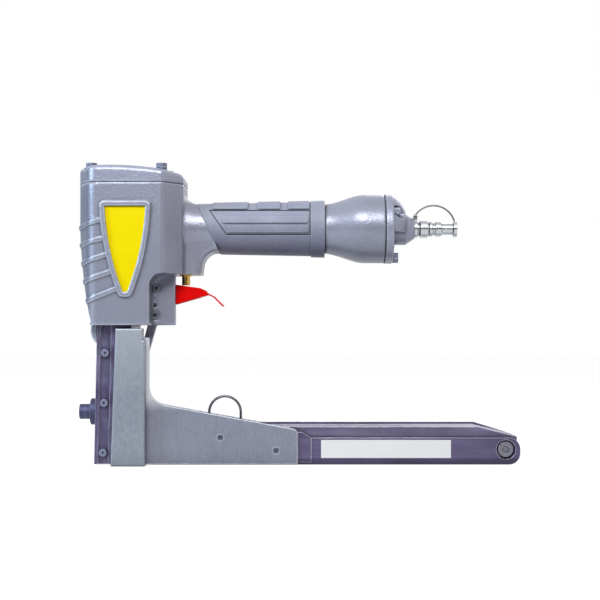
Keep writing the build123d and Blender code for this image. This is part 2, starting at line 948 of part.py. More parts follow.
# Cylinder sleeve with two seal grooves
with BuildPart() as cylinder_sleeve:
    extrude(
        ring(sleeve_radius, bore_radius, Plane.XY.offset(cylinder_bottom_z), drive_x),
        amount=sleeve_top_z - cylinder_bottom_z,
    )
    for z in sleeve_seal_z:
        extrude(
            ring(sleeve_radius, sleeve_radius - sleeve_seal_depth, Plane.XY.offset(z), drive_x),
            amount=sleeve_seal_width,
            mode=Mode.SUBTRACT,
        )
save(cylinder_sleeve, "cylinder_sleeve")

# Seals round the sleeve
with BuildPart() as sleeve_seals:
    for z in sleeve_seal_z:
        extrude(
            ring(cylinder_bore, sleeve_radius - sleeve_seal_depth, Plane.XY.offset(z), drive_x),
            amount=sleeve_seal_width,
        )
save(sleeve_seals, "sleeve_seals")

# Piston with a slotted boss for the blade
piston_seal_z = piston_bottom_z + (piston_thickness - piston_seal_width) / 2
driver_pin_z = piston_bottom_z - driver_pin_drop
with BuildPart() as piston:
    extrude(disc(bore_radius - slip, Plane.XY.offset(piston_bottom_z), drive_x), amount=piston_thickness)
    extrude(disc(piston_boss_radius, Plane.XY.offset(piston_bottom_z), drive_x), amount=-piston_boss_length)
    extrude(
        ring(bore_radius, bore_radius - piston_seal_depth, Plane.XY.offset(piston_seal_z), drive_x),
        amount=piston_seal_width,
        mode=Mode.SUBTRACT,
    )
    extrude(
        bar(
            Plane.XY.offset(piston_boss_z),
            drive_x - blade_thickness / 2,
            drive_x + blade_thickness / 2,
            -blade_neck_half_width,
            blade_neck_half_width,
        ),
        amount=blade_root,
        mode=Mode.SUBTRACT,
    )
    extrude(
        disc(driver_pin_radius, Plane.YZ.offset(drive_x), 0, driver_pin_z),
        amount=piston_boss_radius,
        both=True,
        mode=Mode.SUBTRACT,
    )
save(piston, "piston")

# Piston seal, a hair smaller than the bore
with BuildPart() as piston_seal:
    extrude(
        ring(
            bore_radius - slip / 2, bore_radius - piston_seal_depth, Plane.XY.offset(piston_seal_z), drive_x
        ),
        amount=piston_seal_width,
    )
save(piston_seal, "piston_seal")

# Driver blade: wide where it pushes the staple, narrow where it hangs in the piston
with BuildPart() as driver_blade:
    blade_top_z = piston_boss_z + blade_root
    blade_points = [
        (-blade_half_width, blade_tip_z),
        (blade_half_width, blade_tip_z),
        (blade_half_width, blade_shoulder_z - blade_half_width + blade_neck_half_width),
        (blade_neck_half_width, blade_shoulder_z),
        (blade_neck_half_width, blade_top_z),
        (-blade_neck_half_width, blade_top_z),
        (-blade_neck_half_width, blade_shoulder_z),
        (-blade_half_width, blade_shoulder_z - blade_half_width + blade_neck_half_width),
    ]
    extrude(outline(blade_points, Plane.YZ.offset(drive_x)), amount=blade_thickness / 2, both=True)
    extrude(
        disc(driver_pin_radius, Plane.YZ.offset(drive_x), 0, driver_pin_z),
        amount=blade_thickness,
        both=True,
        mode=Mode.SUBTRACT,
    )
save(driver_blade, "driver_blade")

# Pin that holds the blade in the piston
with BuildPart() as driver_pin:
    pin_half_length = sqrt(piston_boss_radius**2 - driver_pin_radius**2)
    extrude(
        disc(driver_pin_radius, Plane.YZ.offset(drive_x), 0, driver_pin_z), amount=pin_half_length, both=True
    )
save(driver_pin, "driver_pin")

# Rubber bumper at the bottom of the cylinder
with BuildPart() as bumper:
    extrude(
        ring(bore_radius - slip, bumper_bore_radius, Plane.XY.offset(cylinder_bottom_z), drive_x),
        amount=bumper_thickness,
    )
save(bumper, "bumper")

# Head valve over the cylinder, with its seal below and a spring in the top
with BuildPart() as head_valve:
    extrude(disc(valve_radius, Plane.XY.offset(valve_bottom_z), drive_x), amount=valve_thickness)
    valve_top = Plane.XY.offset(valve_bottom_z + valve_thickness)
    extrude(
        ring(valve_pocket_outer, valve_pocket_inner, valve_top, drive_x),
        amount=-valve_pocket_depth,
        mode=Mode.SUBTRACT,
    )
save(head_valve, "head_valve")

with BuildPart() as head_valve_seal:
    extrude(
        disc(sleeve_radius - sleeve_wall / 2, Plane.XY.offset(valve_bottom_z), drive_x),
        amount=-valve_seal_thickness,
    )
save(head_valve_seal, "head_valve_seal")

valve_spring_z = valve_bottom_z + valve_thickness - valve_pocket_depth + valve_spring_wire / 2
with BuildPart() as head_valve_spring:
    add(
        coil_solid(
            start=(drive_x, 0, valve_spring_z + seat_gap),
            axis=(0, 0, 1),
            across=(1, 0, 0),
            radius=valve_spring_radius,
            wire=valve_spring_wire,
            length=cap_ceiling_z - valve_spring_z - valve_spring_wire / 2 - 2 * seat_gap,
            turns=valve_spring_turns,
        )
    )
save(head_valve_spring, "head_valve_spring")


def trigger_top(x):
    """Height of the trigger's upper face at x."""
    for (x_from, z_from), (x_to, z_to) in zip(trigger_profile[1:], trigger_profile[2:]):
        if x_from <= x <= x_to:
            return z_from + (z_to - z_from) * (x - x_from) / (x_to - x_from)
    return trigger_profile[1][1]


# Trigger: folded sheet, solid round its pin and open below
with BuildPart() as trigger:
    extrude(side_outline(trigger_profile), amount=trigger_half_width, both=True)
    web = [(x, z - trigger_sheet) for x, z in trigger_profile[2:5]]
    floor_z = min(z for x, z in trigger_profile) - trigger_sheet
    hollow = [(web[0][0], floor_z), *web, (web[-1][0], floor_z)]
    extrude(
        side_outline(hollow), amount=trigger_half_width - trigger_sheet, both=True, mode=Mode.SUBTRACT
    )
    with BuildSketch(Plane.XZ):
        with BuildLine():
            FilletPolyline(*trigger_lip, radius=trigger_lip_bend)
        trace(line_width=trigger_sheet)
    extrude(amount=trigger_half_width, both=True)
    extrude(
        disc(trigger_pin_radius + slip, Plane.XZ, trigger_pin_x, trigger_pin_z),
        amount=trigger_half_width,
        both=True,
        mode=Mode.SUBTRACT,
    )
save(trigger, "trigger")


def cross_pin(x, z, radius):
    """Pin through both lugs of the bracket, with a hexagon socket on the left."""
    left_face = Plane.XZ.offset(bracket_half_width)
    with BuildPart() as pin:
        extrude(disc(radius, left_face, x, z), amount=-2 * bracket_half_width)
        chamfer(pin.edges().filter_by(GeomType.CIRCLE), length=pin_edge)
        add(hex_socket(left_face, x, z, radius, pin_socket_depth), mode=Mode.SUBTRACT)
    return pin.part


# Pins across the bracket
with BuildPart() as trigger_pin:
    add(cross_pin(trigger_pin_x, trigger_pin_z, trigger_pin_radius))
save(trigger_pin, "trigger_pin")

with BuildPart() as stay_pin:
    add(cross_pin(stay_pin_x, stay_pin_z, stay_pin_radius))
save(stay_pin, "stay_pin")


def stay_length(upper, lower):
    """Side view of a straight length of the stay between two rounds, each given as (x, z, radius)."""
    with BuildSketch(Plane.XZ) as face:
        for x, z, radius in (upper, lower):
            with Locations((x, z)):
                Circle(radius)
        make_hull()
    return face.sketch


# Stay from the bracket down to a bolt between the arms
with BuildPart() as rear_stay:
    stay_eye = (stay_pin_x, stay_pin_z, stay_eye_radius)
    stay_neck = (stay_neck_x, stay_neck_z, stay_neck_radius)
    stay_foot = (stay_foot_x, stay_foot_z, stay_foot_radius)
    for upper, lower in ((stay_eye, stay_neck), (stay_neck, stay_foot)):
        extrude(stay_length(upper, lower), amount=stay_half_width, both=True)
    for x, z, radius in (
        (stay_pin_x, stay_pin_z, stay_pin_radius),
        (stay_foot_x, stay_foot_z, stay_bolt_radius),
    ):
        extrude(disc(radius, Plane.XZ, x, z), amount=stay_half_width, both=True, mode=Mode.SUBTRACT)
save(rear_stay, "rear_stay")

with BuildPart() as stay_bolt:
    extrude(disc(stay_bolt_radius, Plane.XZ, stay_foot_x, stay_foot_z), amount=side_y, both=True)
save(stay_bolt, "stay_bolt")

# Trigger valve: body pressed into the boss, sprung stem below it
chamber_z = boss_bottom_z + stem_chamber_floor
chamber_roof_z = boss_bottom_z + valve_body_height - stem_chamber_roof
with BuildPart() as trigger_valve_body:
    extrude(disc(valve_body_radius, Plane.XY.offset(boss_bottom_z), valve_x), amount=valve_body_height)
    extrude(disc(valve_rim_radius, Plane.XY.offset(boss_bottom_z), valve_x), amount=-valve_rim_drop)
    extrude(
        disc(stem_radius + slip, Plane.XY.offset(boss_bottom_z - valve_rim_drop), valve_x),
        amount=valve_rim_drop + stem_chamber_floor,
        mode=Mode.SUBTRACT,
    )
    extrude(
        disc(stem_chamber_radius, Plane.XY.offset(chamber_z), valve_x),
        amount=chamber_roof_z - chamber_z,
        mode=Mode.SUBTRACT,
    )
    extrude(
        disc(stem_spring_radius - stem_spring_wire, Plane.XY.offset(chamber_roof_z), valve_x),
        amount=stem_chamber_roof,
        mode=Mode.SUBTRACT,
    )
save(trigger_valve_body, "trigger_valve_body")

collar_z = chamber_z + slip
stem_foot_z = trigger_top(valve_x - stem_radius) + running_gap
with BuildPart() as valve_stem:
    extrude(disc(stem_radius, Plane.XY.offset(stem_foot_z), valve_x), amount=collar_z - stem_foot_z)
    extrude(disc(stem_collar_radius, Plane.XY.offset(collar_z), valve_x), amount=stem_collar_height)
    extrude(
        disc(stem_tail_radius, Plane.XY.offset(collar_z + stem_collar_height), valve_x), amount=stem_tail
    )
save(valve_stem, "valve_stem")

stem_spring_z = collar_z + stem_collar_height + stem_spring_wire / 2 + seat_gap
with BuildPart() as valve_spring:
    add(
        coil_solid(
            start=(valve_x, 0, stem_spring_z),
            axis=(0, 0, 1),
            across=(1, 0, 0),
            radius=stem_spring_radius,
            wire=stem_spring_wire,
            length=chamber_roof_z - stem_spring_z - stem_spring_wire / 2 - seat_gap,
            turns=stem_spring_turns,
        )
    )
save(valve_spring, "valve_spring")


def grip_body(grow):
    """Tapered oval body of the grip, grown all round."""
    with BuildPart() as body:
        add(oval(grip_section_x, grip_front_half_width + grow, grip_front_half_height + grow))
        add(oval(grip_rear_x, grip_rear_half_width + grow, grip_rear_half_height + grow))
        loft()
    return body.part


# Raised bars, pads and collar of the grip
with BuildPart() as grip_relief_forms:
    add(grip_body(grip_relief))
    with BuildSketch(Plane.XZ):
        for front_x, middle_z in zip(bar_front_x, bar_z):
            with Locations(((front_x + bar_rear_x) / 2, middle_z)):
                RectangleRounded(bar_rear_x - front_x, bar_height, bar_corner)
        pad_top_z = handle_z + 2 * grip_rear_half_height
        for front_x, rear_x in pad_spans:
            with Locations(((front_x + rear_x) / 2, (pad_bottom_z + pad_top_z) / 2)):
                RectangleRounded(rear_x - front_x, pad_top_z - pad_bottom_z, bar_corner)
        with Locations(((grip_collar_x + grip_rear_x) / 2, handle_z)):
            Rectangle(grip_rear_x - grip_collar_x, 4 * grip_rear_half_height)
    extrude(amount=2 * grip_rear_half_width, both=True, mode=Mode.INTERSECT)

# Groove round the finger panel, one relief deep
with BuildPart() as panel_groove_tool:
    with BuildSketch(Plane.XZ):
        with BuildLine():
            Polyline(
                (panel_front_x, panel_top_z),
                (panel_foot_x, panel_bottom_z),
                (panel_rear_x, panel_bottom_z),
                (panel_rear_x, panel_top_z),
                close=True,
            )
        trace(line_width=panel_groove)
    extrude(amount=2 * grip_rear_half_width, both=True)
    add(grip_body(-grip_relief), mode=Mode.SUBTRACT)

# Rubber grip round the handle core
with BuildPart() as rubber_grip:
    add(grip_body(0))
    add(grip_relief_forms.part)
    add(panel_groove_tool.part, mode=Mode.SUBTRACT)
    front_points = [
        (shoulder_low_x + seat_gap, low_z),
        (shoulder_top_x + seat_gap, top_z),
        (handle_start_x, top_z),
        (handle_start_x, low_z),
    ]
    extrude(side_outline(front_points), amount=2 * grip_rear_half_width, both=True, mode=Mode.SUBTRACT)
    extrude(
        oval(grip_section_x, core_half_width + seat_gap, core_half_height + seat_gap),
        amount=barrel_start_x - grip_section_x,
        mode=Mode.SUBTRACT,
    )
save(rubber_grip, "rubber_grip")

# Gasket and end cap of the barrel
with BuildPart() as end_cap_gasket:
    gasket_bore = end_screw_circle - end_screw_head_radius
    extrude(
        ring(barrel_radius, gasket_bore, Plane.YZ.offset(barrel_end_x), 0, handle_z),
        amount=end_gasket_thickness,
    )
    for y, z in end_screw_sites:
        extrude(
            disc(end_screw_radius, Plane.YZ.offset(barrel_end_x), y, z),
            amount=end_gasket_thickness,
            mode=Mode.SUBTRACT,
        )
save(end_cap_gasket, "end_cap_gasket")

with BuildPart() as end_cap_hump:
    hump_radius = end_cap_radius - hump_step
    with BuildSketch(Plane.XZ):
        with BuildLine():
            brow = Line(
                (end_cap_x, handle_z + hump_radius), (end_face_x + hump_brow, handle_z + hump_radius)
            )
            dome = ThreePointArc(
                brow @ 1,
                (end_face_x + hump_shoulder_length, handle_z + hump_shoulder_radius),
                (end_face_x + hump_length, handle_z + hump_foot_radius),
            )
            Polyline(dome @ 1, (end_face_x + hump_length, handle_z), (end_cap_x, handle_z), brow @ 0)
        make_face()
    revolve(axis=handle_axis)
    hump_cut = [
        (end_cap_x, handle_z - hump_floor),
        (inlet_end_x, handle_z - hump_floor),
        (inlet_end_x, handle_z - end_cap_radius),
        (end_cap_x, handle_z - end_cap_radius),
    ]
    extrude(side_outline(hump_cut), amount=end_cap_radius, both=True, mode=Mode.SUBTRACT)
    for y, z in end_screw_sites:
        extrude(
            disc(end_screw_pocket, Plane.YZ.offset(end_face_x), y, z), amount=hump_length, mode=Mode.SUBTRACT
        )

with BuildPart() as end_cap:
    extrude(disc(end_cap_radius, Plane.YZ.offset(end_cap_x), 0, handle_z), amount=end_cap_flange)
    chamfer(end_cap.edges().sort_by(Axis.X)[-1], length=end_cap_edge)
    add(end_cap_hump.part)
    inlet_points = [
        (end_cap_x, handle_z),
        (end_cap_x, handle_z + inlet_radius),
        (end_face_x + inlet_length, handle_z + inlet_radius),
        (inlet_end_x, handle_z + inlet_tip_radius),
        (inlet_end_x, handle_z),
    ]
    add(side_outline(inlet_points))
    revolve(axis=handle_axis)
    extrude(
        disc(inlet_bore_radius, Plane.YZ.offset(end_cap_x), 0, handle_z),
        amount=inlet_end_x - end_cap_x,
        mode=Mode.SUBTRACT,
    )
    for y, z in end_screw_sites:
        extrude(
            disc(end_screw_radius, Plane.YZ.offset(end_cap_x), y, z),
            amount=end_cap_flange,
            mode=Mode.SUBTRACT,
        )
save(end_cap, "end_cap")

# Three screws in the end cap
with BuildPart() as end_cap_screws:
    for y, z in end_screw_sites:
        add(
            socket_screw(
                Plane.YZ.offset(end_face_x),
                y,
                z,
                end_screw_head_radius,
                end_screw_head_height,
                end_screw_radius,
                end_face_x - barrel_end_x + end_screw_depth - running_gap,
            )
        )
save(end_cap_screws, "end_cap_screws")

# Air plug, turned in one piece: thread, seat, body, ring, bead and shank
collar_end_x = inlet_end_x + collar_thickness
plug_steps = (
    (plug_seat_length, plug_seat_radius),
    (plug_hex_length, plug_hex_radius),
    (plug_groove_length, plug_groove_radius),
    (plug_ring_length, plug_ring_radius),
    (plug_waist_length, plug_groove_radius),
    (plug_bead_length, plug_ring_radius),
    (plug_shank_length, plug_shank_radius),
)
with BuildPart() as air_plug:
    with BuildSketch(Plane.XZ):
        with BuildLine():
            plug_x = inlet_end_x - plug_thread_length
            plug_line = [(plug_x, handle_z + plug_bore_radius), (plug_x, handle_z + inlet_bore_radius)]
            plug_x = collar_end_x
            plug_line.append((plug_x, handle_z + inlet_bore_radius))
            for length, radius in plug_steps:
                edge = plug_edge if radius > plug_groove_radius else 0
                if edge:
                    plug_line.append((plug_x, handle_z + radius - edge))
                    plug_line.append((plug_x + edge, handle_z + radius))
                    plug_line.append((plug_x + length - edge, handle_z + radius))
                    plug_line.append((plug_x + length, handle_z + radius - edge))
                else:
                    plug_line.append((plug_x, handle_z + radius))
                    plug_line.append((plug_x + length, handle_z + radius))
                plug_x += length
            plug_line.append((plug_x, handle_z + plug_bore_radius))
            Polyline(*plug_line, close=True)
        make_face()
    revolve(axis=handle_axis)
plug_end_x = plug_x
save(air_plug, "air_plug")

# Collar on the plug with two ears and the pin that the cap's wire turns on
arch_x = (inlet_end_x + collar_end_x) / 2
arch_z = handle_z + arch_foot_z
ear_inner = arch_wire_radius + running_gap
ear_outer = ear_inner + arch_ear_thickness
with BuildPart() as plug_collar:
    extrude(
        ring(collar_radius, inlet_bore_radius, Plane.YZ.offset(inlet_end_x), 0, handle_z),
        amount=collar_thickness,
    )
    with BuildSketch(Plane.XZ.offset(ear_inner)):
        with Locations((arch_x, arch_z)):
            Circle(collar_thickness / 2)
        with Locations((arch_x, (arch_z + handle_z + collar_radius) / 2 - collar_thickness / 2)):
            Rectangle(collar_thickness, arch_z - handle_z - collar_radius + collar_thickness)
    extrude(amount=arch_ear_thickness)
    mirror(about=Plane.XZ)
    extrude(disc(arch_pin_radius, Plane.XZ, arch_x, arch_z), amount=ear_outer, both=True)
save(plug_collar, "plug_collar")

# Wire arch: an eye round the collar's pin, then a bow over the plug to the cap
dust_cap_x = plug_end_x + dust_cap_gap
arch_end = (dust_cap_x + dust_cap_thickness / 2, handle_z + dust_cap_radius - arch_entry)
with BuildPart() as dust_cap_wire:
    with BuildSketch(Plane.XZ):
        with Locations((arch_x, arch_z)):
            Circle(arch_eye_radius)
    extrude(amount=arch_eye_half_width, both=True)
    with BuildLine(Plane.XZ):
        bow = ThreePointArc(
            (arch_x, arch_z + (arch_eye_radius + arch_pin_radius) / 2),
            ((arch_x + arch_end[0]) / 2, handle_z + arch_crown_z),
            arch_end,
        )
    with BuildSketch(Plane(origin=bow @ 0, z_dir=bow % 0)):
        Circle(arch_wire_radius)
    sweep()
    extrude(
        disc(arch_pin_radius + slip, Plane.XZ, arch_x, arch_z),
        amount=ear_inner,
        both=True,
        mode=Mode.SUBTRACT,
    )
save(dust_cap_wire, "dust_cap_wire")

# Dust cap over the end of the plug
with BuildPart() as dust_cap:
    extrude(disc(dust_cap_radius, Plane.YZ.offset(dust_cap_x), 0, handle_z), amount=dust_cap_thickness)
    add(dust_cap_wire.part, mode=Mode.SUBTRACT)
save(dust_cap, "dust_cap")


def countersunk_form(plane, u, v, head_radius, head_depth, radius, length):
    """Plain shape of a countersunk screw, flush with a plane, which also cuts its hole."""
    with BuildPart() as form:
        add(disc(head_radius, plane, u, v))
        add(disc(radius, plane.offset(-head_depth), u, v))
        loft()
        extrude(disc(radius, plane, u, v), amount=-length)
    return form.part


# Screws of the nose: three on each side, two behind the front plate and the long bolt in front
groove_y = side_y - nose_groove_depth
with BuildPart() as nose_screws:
    for z in nose_screw_z:
        add(
            socket_screw(
                Plane.XZ.offset(groove_y),
                nose_front_x(z) + nose_groove_margin + nose_groove_width / 2,
                z,
                nose_screw_head_radius,
                nose_screw_head_height,
                nose_screw_radius,
                nose_screw_depth,
            )
        )
    mirror(about=Plane.XZ)
save(nose_screws, "nose_screws")

plate_screw_plane = Plane.YZ.offset(front_plate_back_x)
with BuildPart() as plate_screw_forms:
    for z in plate_screw_z:
        add(
            countersunk_form(
                plate_screw_plane,
                0,
                z,
                plate_screw_head_radius,
                plate_screw_head_height,
                plate_screw_radius,
                front_plate_thickness + plate_screw_depth,
            )
        )

with BuildPart() as front_plate_screws:
    add(plate_screw_forms.part)
    for z in plate_screw_z:
        add(
            hex_socket(plate_screw_plane, 0, z, plate_screw_head_radius, plate_screw_head_height),
            mode=Mode.SUBTRACT,
        )
save(front_plate_screws, "front_plate_screws")

spot_face_x = nose_front_x(front_bolt_z) + spot_face_depth
washer_face_x = spot_face_x - front_washer_thickness
with BuildPart() as front_bolt:
    add(
        socket_screw(
            Plane(origin=(washer_face_x, 0, 0), x_dir=(0, -1, 0), z_dir=(-1, 0, 0)),
            0,
            front_bolt_z,
            front_bolt_head_radius,
            front_bolt_head_length,
            front_bolt_radius,
            front_washer_thickness + front_bolt_depth,
        )
    )
save(front_bolt, "front_bolt")

with BuildPart() as front_washer:
    extrude(
        ring(front_washer_radius, front_bolt_radius, Plane.YZ.offset(spot_face_x), 0, front_bolt_z),
        amount=-front_washer_thickness,
    )
save(front_washer, "front_washer")

# Pivots of the clinchers, pressed into the front wall
with BuildPart() as clincher_pivots:
    for y in (-pivot_y, pivot_y):
        extrude(
            disc(pivot_radius, Plane.YZ.offset(nose_wall_x - pivot_depth), y, pivot_z),
            amount=clincher_back_x - nose_wall_x + pivot_depth,
        )
save(clincher_pivots, "clincher_pivots")

# Nose frame: leaning front wall, block under the head and a post behind the wall
with BuildPart() as nose_frame:
    nose_points = [
        (nose_front_x(nose_bottom_z), nose_bottom_z),
        (nose_wall_x, nose_bottom_z),
        (nose_wall_x, nose_step_z),
        (yoke_front_x - running_gap, nose_step_z),
        (yoke_front_x - running_gap, nose_block_z),
        (nose_block_rear_x, nose_block_z),
        (nose_block_rear_x, head_bottom_z),
        (nose_front_x(head_bottom_z), head_bottom_z),
    ]
    extrude(side_outline(nose_points), amount=side_y, both=True)
    passage_half_width = front_plate_half_width + running_gap
    extrude(
        bar(
            Plane.XY.offset(nose_block_z),
            yoke_front_x - running_gap,
            magazine_front_x,
            -passage_half_width,
            passage_half_width,
        ),
        amount=head_bottom_z - nose_block_z,
        mode=Mode.SUBTRACT,
    )
    extrude(
        bar(
            Plane.XY.offset(nose_bottom_z),
            nose_wall_x,
            front_plate_front_x,
            -nose_post_half_width,
            nose_post_half_width,
        ),
        amount=nose_post_top_z - nose_bottom_z,
    )
    groove_points = [
        (nose_front_x(nose_bottom_z) + nose_groove_margin, nose_bottom_z),
        (nose_front_x(nose_bottom_z) + nose_groove_margin + nose_groove_width, nose_bottom_z),
        (nose_front_x(head_bottom_z) + nose_groove_margin + nose_groove_width, head_bottom_z),
        (nose_front_x(head_bottom_z) + nose_groove_margin, head_bottom_z),
    ]
    extrude(side_outline(groove_points, side_y), amount=nose_groove_depth, mode=Mode.SUBTRACT)
    extrude(side_outline(groove_points, -side_y), amount=-nose_groove_depth, mode=Mode.SUBTRACT)
    extrude(
        disc(front_washer_radius + seat_gap, Plane.YZ.offset(spot_face_x), 0, front_bolt_z),
        amount=-front_washer_thickness,
        mode=Mode.SUBTRACT,
    )
    for fitted in (nose_screws, plate_screw_forms, front_bolt, clincher_pivots):
        add(fitted.part, mode=Mode.SUBTRACT)
save(nose_frame, "nose_frame")

# Front plate that guides the driver blade
with BuildPart() as front_plate:
    extrude(
        bar(
            Plane.XY.offset(nose_bottom_z),
            front_plate_front_x,
            front_plate_back_x,
            -front_plate_half_width,
            front_plate_half_width,
        ),
        amount=blade_shoulder_z - nose_bottom_z,
    )
    add(plate_screw_forms.part, mode=Mode.SUBTRACT)
save(front_plate, "front_plate")


def claw_point(radius, angle):
    """Place round the right clincher's pivot, across and up."""
    return (pivot_y + radius * cos(radians(angle)), pivot_z + radius * sin(radians(angle)))


def claw_arc(radius, first, last):
    """Arc round the right clincher's pivot."""
    return ThreePointArc(
        claw_point(radius, first), claw_point(radius, (first + last) / 2), claw_point(radius, last)
    )


# Right clincher: boss, back and hooked claw, with the anvil that reaches under the staple
with BuildPart() as right_clincher:
    shoulder_angle = claw_tip_angle + claw_point_angle
    with BuildSketch(Plane.YZ.offset(clincher_front_x)):
        with BuildLine():
            Line((pivot_y, pivot_z), claw_point(claw_inner_radius, claw_heel_angle))
            claw_arc(claw_inner_radius, claw_heel_angle, claw_tip_angle)
            Line(claw_point(claw_inner_radius, claw_tip_angle), claw_point(claw_outer_radius, shoulder_angle))
            claw_arc(claw_outer_radius, shoulder_angle, claw_back_angle)
            Line(claw_point(claw_outer_radius, claw_back_angle), (pivot_y, pivot_z))
        make_face()
        with Locations((pivot_y, pivot_z)):
            Circle(clincher_boss_radius)
    extrude(amount=clincher_thickness)
    with BuildSketch(Plane.YZ.offset(clincher_front_x)):
        with BuildLine():
            Line(
                claw_point(claw_outer_radius, claw_anvil_angle),
                claw_point(claw_inner_radius, claw_anvil_angle),
            )
            claw_arc(claw_inner_radius, claw_anvil_angle, claw_tip_angle)
            Line(claw_point(claw_inner_radius, claw_tip_angle), claw_point(claw_outer_radius, shoulder_angle))
            claw_arc(claw_outer_radius, shoulder_angle, claw_anvil_angle)
        make_face()
    extrude(amount=drive_x + claw_anvil_reach - clincher_front_x)
    for radius, y, z in ((pivot_radius + slip, pivot_y, pivot_z), (follower_radius, follower_y, follower_z)):
        extrude(
            disc(radius, Plane.YZ.offset(clincher_front_x), y, z),
            amount=clincher_thickness,
            mode=Mode.SUBTRACT,
        )
save(right_clincher, "right_clincher")

with BuildPart() as left_clincher:
    mirror(right_clincher.part, about=Plane.XZ)
save(left_clincher, "left_clincher")

with BuildPart() as right_follower_pin:
    extrude(
        disc(follower_radius, Plane.YZ.offset(clincher_front_x), follower_y, follower_z),
        amount=yoke_back_x - clincher_front_x,
    )
save(right_follower_pin, "right_follower_pin")

with BuildPart() as left_follower_pin:
    mirror(right_follower_pin.part, about=Plane.XZ)
save(left_follower_pin, "left_follower_pin")

# Yoke: stem, bridge and two slotted legs that take both follower pins down together
with BuildPart() as clincher_yoke:
    slot_radius = follower_radius + yoke_slot_play
    leg_bottom_z = follower_z - slot_radius - yoke_web
    bridge_top_z = yoke_bridge_z + yoke_bridge_height
    sway = pivot_y + follower_reach - follower_y
    with BuildSketch(Plane.YZ.offset(yoke_front_x)):
        add(bar(Plane.XY, -yoke_half_width, yoke_half_width, yoke_bridge_z, bridge_top_z))
        add(bar(Plane.XY, -yoke_stem_half_width, yoke_stem_half_width, yoke_bridge_z, yoke_seat_z))
        add(bar(Plane.XY, yoke_leg_inner_y, yoke_half_width, leg_bottom_z, bridge_top_z))
        add(bar(Plane.XY, -yoke_half_width, -yoke_leg_inner_y, leg_bottom_z, bridge_top_z))
        slot_y = follower_y + sway / 2
        with Locations((slot_y, follower_z), (-slot_y, follower_z)):
            SlotCenterToCenter(sway + 2 * yoke_slot_extra, 2 * slot_radius, mode=Mode.SUBTRACT)
    extrude(amount=yoke_thickness)
    extrude(
        disc(yoke_seat_radius, Plane.XY.offset(yoke_seat_z), yoke_spring_x), amount=-yoke_seat_thickness
    )
save(clincher_yoke, "clincher_yoke")

# Spring between the piston's boss and the yoke
with BuildPart() as yoke_spring:
    add(
        coil_solid(
            start=(yoke_spring_x, 0, yoke_seat_z + yoke_spring_wire / 2 + seat_gap),
            axis=(0, 0, 1),
            across=(1, 0, 0),
            radius=yoke_spring_radius,
            wire=yoke_spring_wire,
            length=piston_boss_z - yoke_seat_z - yoke_spring_wire - 2 * seat_gap,
            turns=yoke_spring_turns,
        )
    )
save(yoke_spring, "yoke_spring")


def cheek_front_x(z):
    """Leaning front edge of the cheeks."""
    return cheek_front_bottom_x + (cheek_front_top_x - cheek_front_bottom_x) * z / cheek_top_z


def cheek_cover(rear_x, notch_x):
    """Hollow cover on the left side, open inwards, below and in front of the claws."""
    with BuildPart() as cover:
        cheek_points = [
            (cheek_front_x(0), 0),
            (rear_x, 0),
            (rear_x, cheek_notch_z),
            (notch_x, cheek_notch_z),
            (notch_x, cheek_top_z),
            (cheek_front_x(cheek_top_z), cheek_top_z),
        ]
        extrude(side_outline(cheek_points, -side_y), amount=cheek_outer_y - side_y)
        fillet(cover.faces().sort_by(Axis.Y)[0].edges(), radius=cheek_edge_radius)
        hollow_points = [
            (cheek_front_x(0), 0),
            (rear_x - cheek_wall, 0),
            (rear_x - cheek_wall, nose_block_z),
            (cheek_front_x(nose_block_z) + cheek_wall, nose_block_z),
            (cheek_front_x(cheek_mouth_z) + cheek_wall, cheek_mouth_z),
            (cheek_front_x(cheek_mouth_z), cheek_mouth_z),
        ]
        extrude(
            side_outline(hollow_points, -side_y),
            amount=cheek_outer_y - side_y - cheek_wall,
            mode=Mode.SUBTRACT,
        )
    return cover.part


# Cheeks over the clinchers, the right one a little narrower
with BuildPart() as left_cheek:
    add(cheek_cover(cheek_rear_x, cheek_notch_x))
save(left_cheek, "left_cheek")

with BuildPart() as right_cheek:
    mirror(cheek_cover(right_cheek_rear_x, right_cheek_notch_x), about=Plane.XZ)
save(right_cheek, "right_cheek")

# Screws that hold the arms to the magazine
relief_y = side_y - arm_relief
arm_screw_plane = Plane.XZ.offset(relief_y)
with BuildPart() as arm_screw_forms:
    for x, z in arm_screw_places:
        add(
            countersunk_form(
                arm_screw_plane,
                x,
                z,
                arm_screw_head_radius,
                arm_screw_head_depth,
                arm_screw_radius,
                relief_y - channel_inner,
            )
        )

with BuildPart() as arm_screws:
    add(arm_screw_forms.part)
    for x, z in arm_screw_places:
        add(
            hex_socket(arm_screw_plane, x, z, arm_screw_head_radius, arm_screw_head_depth),
            mode=Mode.SUBTRACT,
        )
    mirror(about=Plane.XZ)
save(arm_screws, "arm_screws")


def arm_plate(column_x, bend_top_z, bend_x, bend_z, end_z):
    """Plate on the left side that runs down from the nose block and back along the magazine."""
    with BuildPart() as plate:
        with BuildSketch(Plane.XZ.offset(channel_half_width)) as arm_face:
            with BuildLine():
                column = Polyline(
                    (nose_block_rear_x, arm_bottom_z),
                    (nose_block_rear_x, arm_top_z),
                    (column_x, arm_top_z),
                    (column_x, bend_top_z),
                )
                bend = TangentArc(column @ 1, (bend_x, bend_z), tangent=column % 1)
                Polyline(bend @ 1, (arm_end_x, end_z), (arm_end_x, arm_bottom_z), column @ 0)
            make_face()
            fillet(arm_face.vertices().sort_by(Axis.X)[-2:].sort_by(Axis.Y)[-1], radius=arm_end_radius)
        extrude(amount=arm_thickness)
        relief_points = [
            (cheek_rear_x, -side_y),
            (arm_relief_end_x, -relief_y),
            (arm_end_x, -relief_y),
            (arm_end_x, -side_y),
        ]
        extrude(outline(relief_points, Plane.XY), amount=arm_top_z, mode=Mode.SUBTRACT)
        for fitted in (arm_screw_forms, stay_bolt):
            add(fitted.part, mode=Mode.SUBTRACT)
    return plate.part


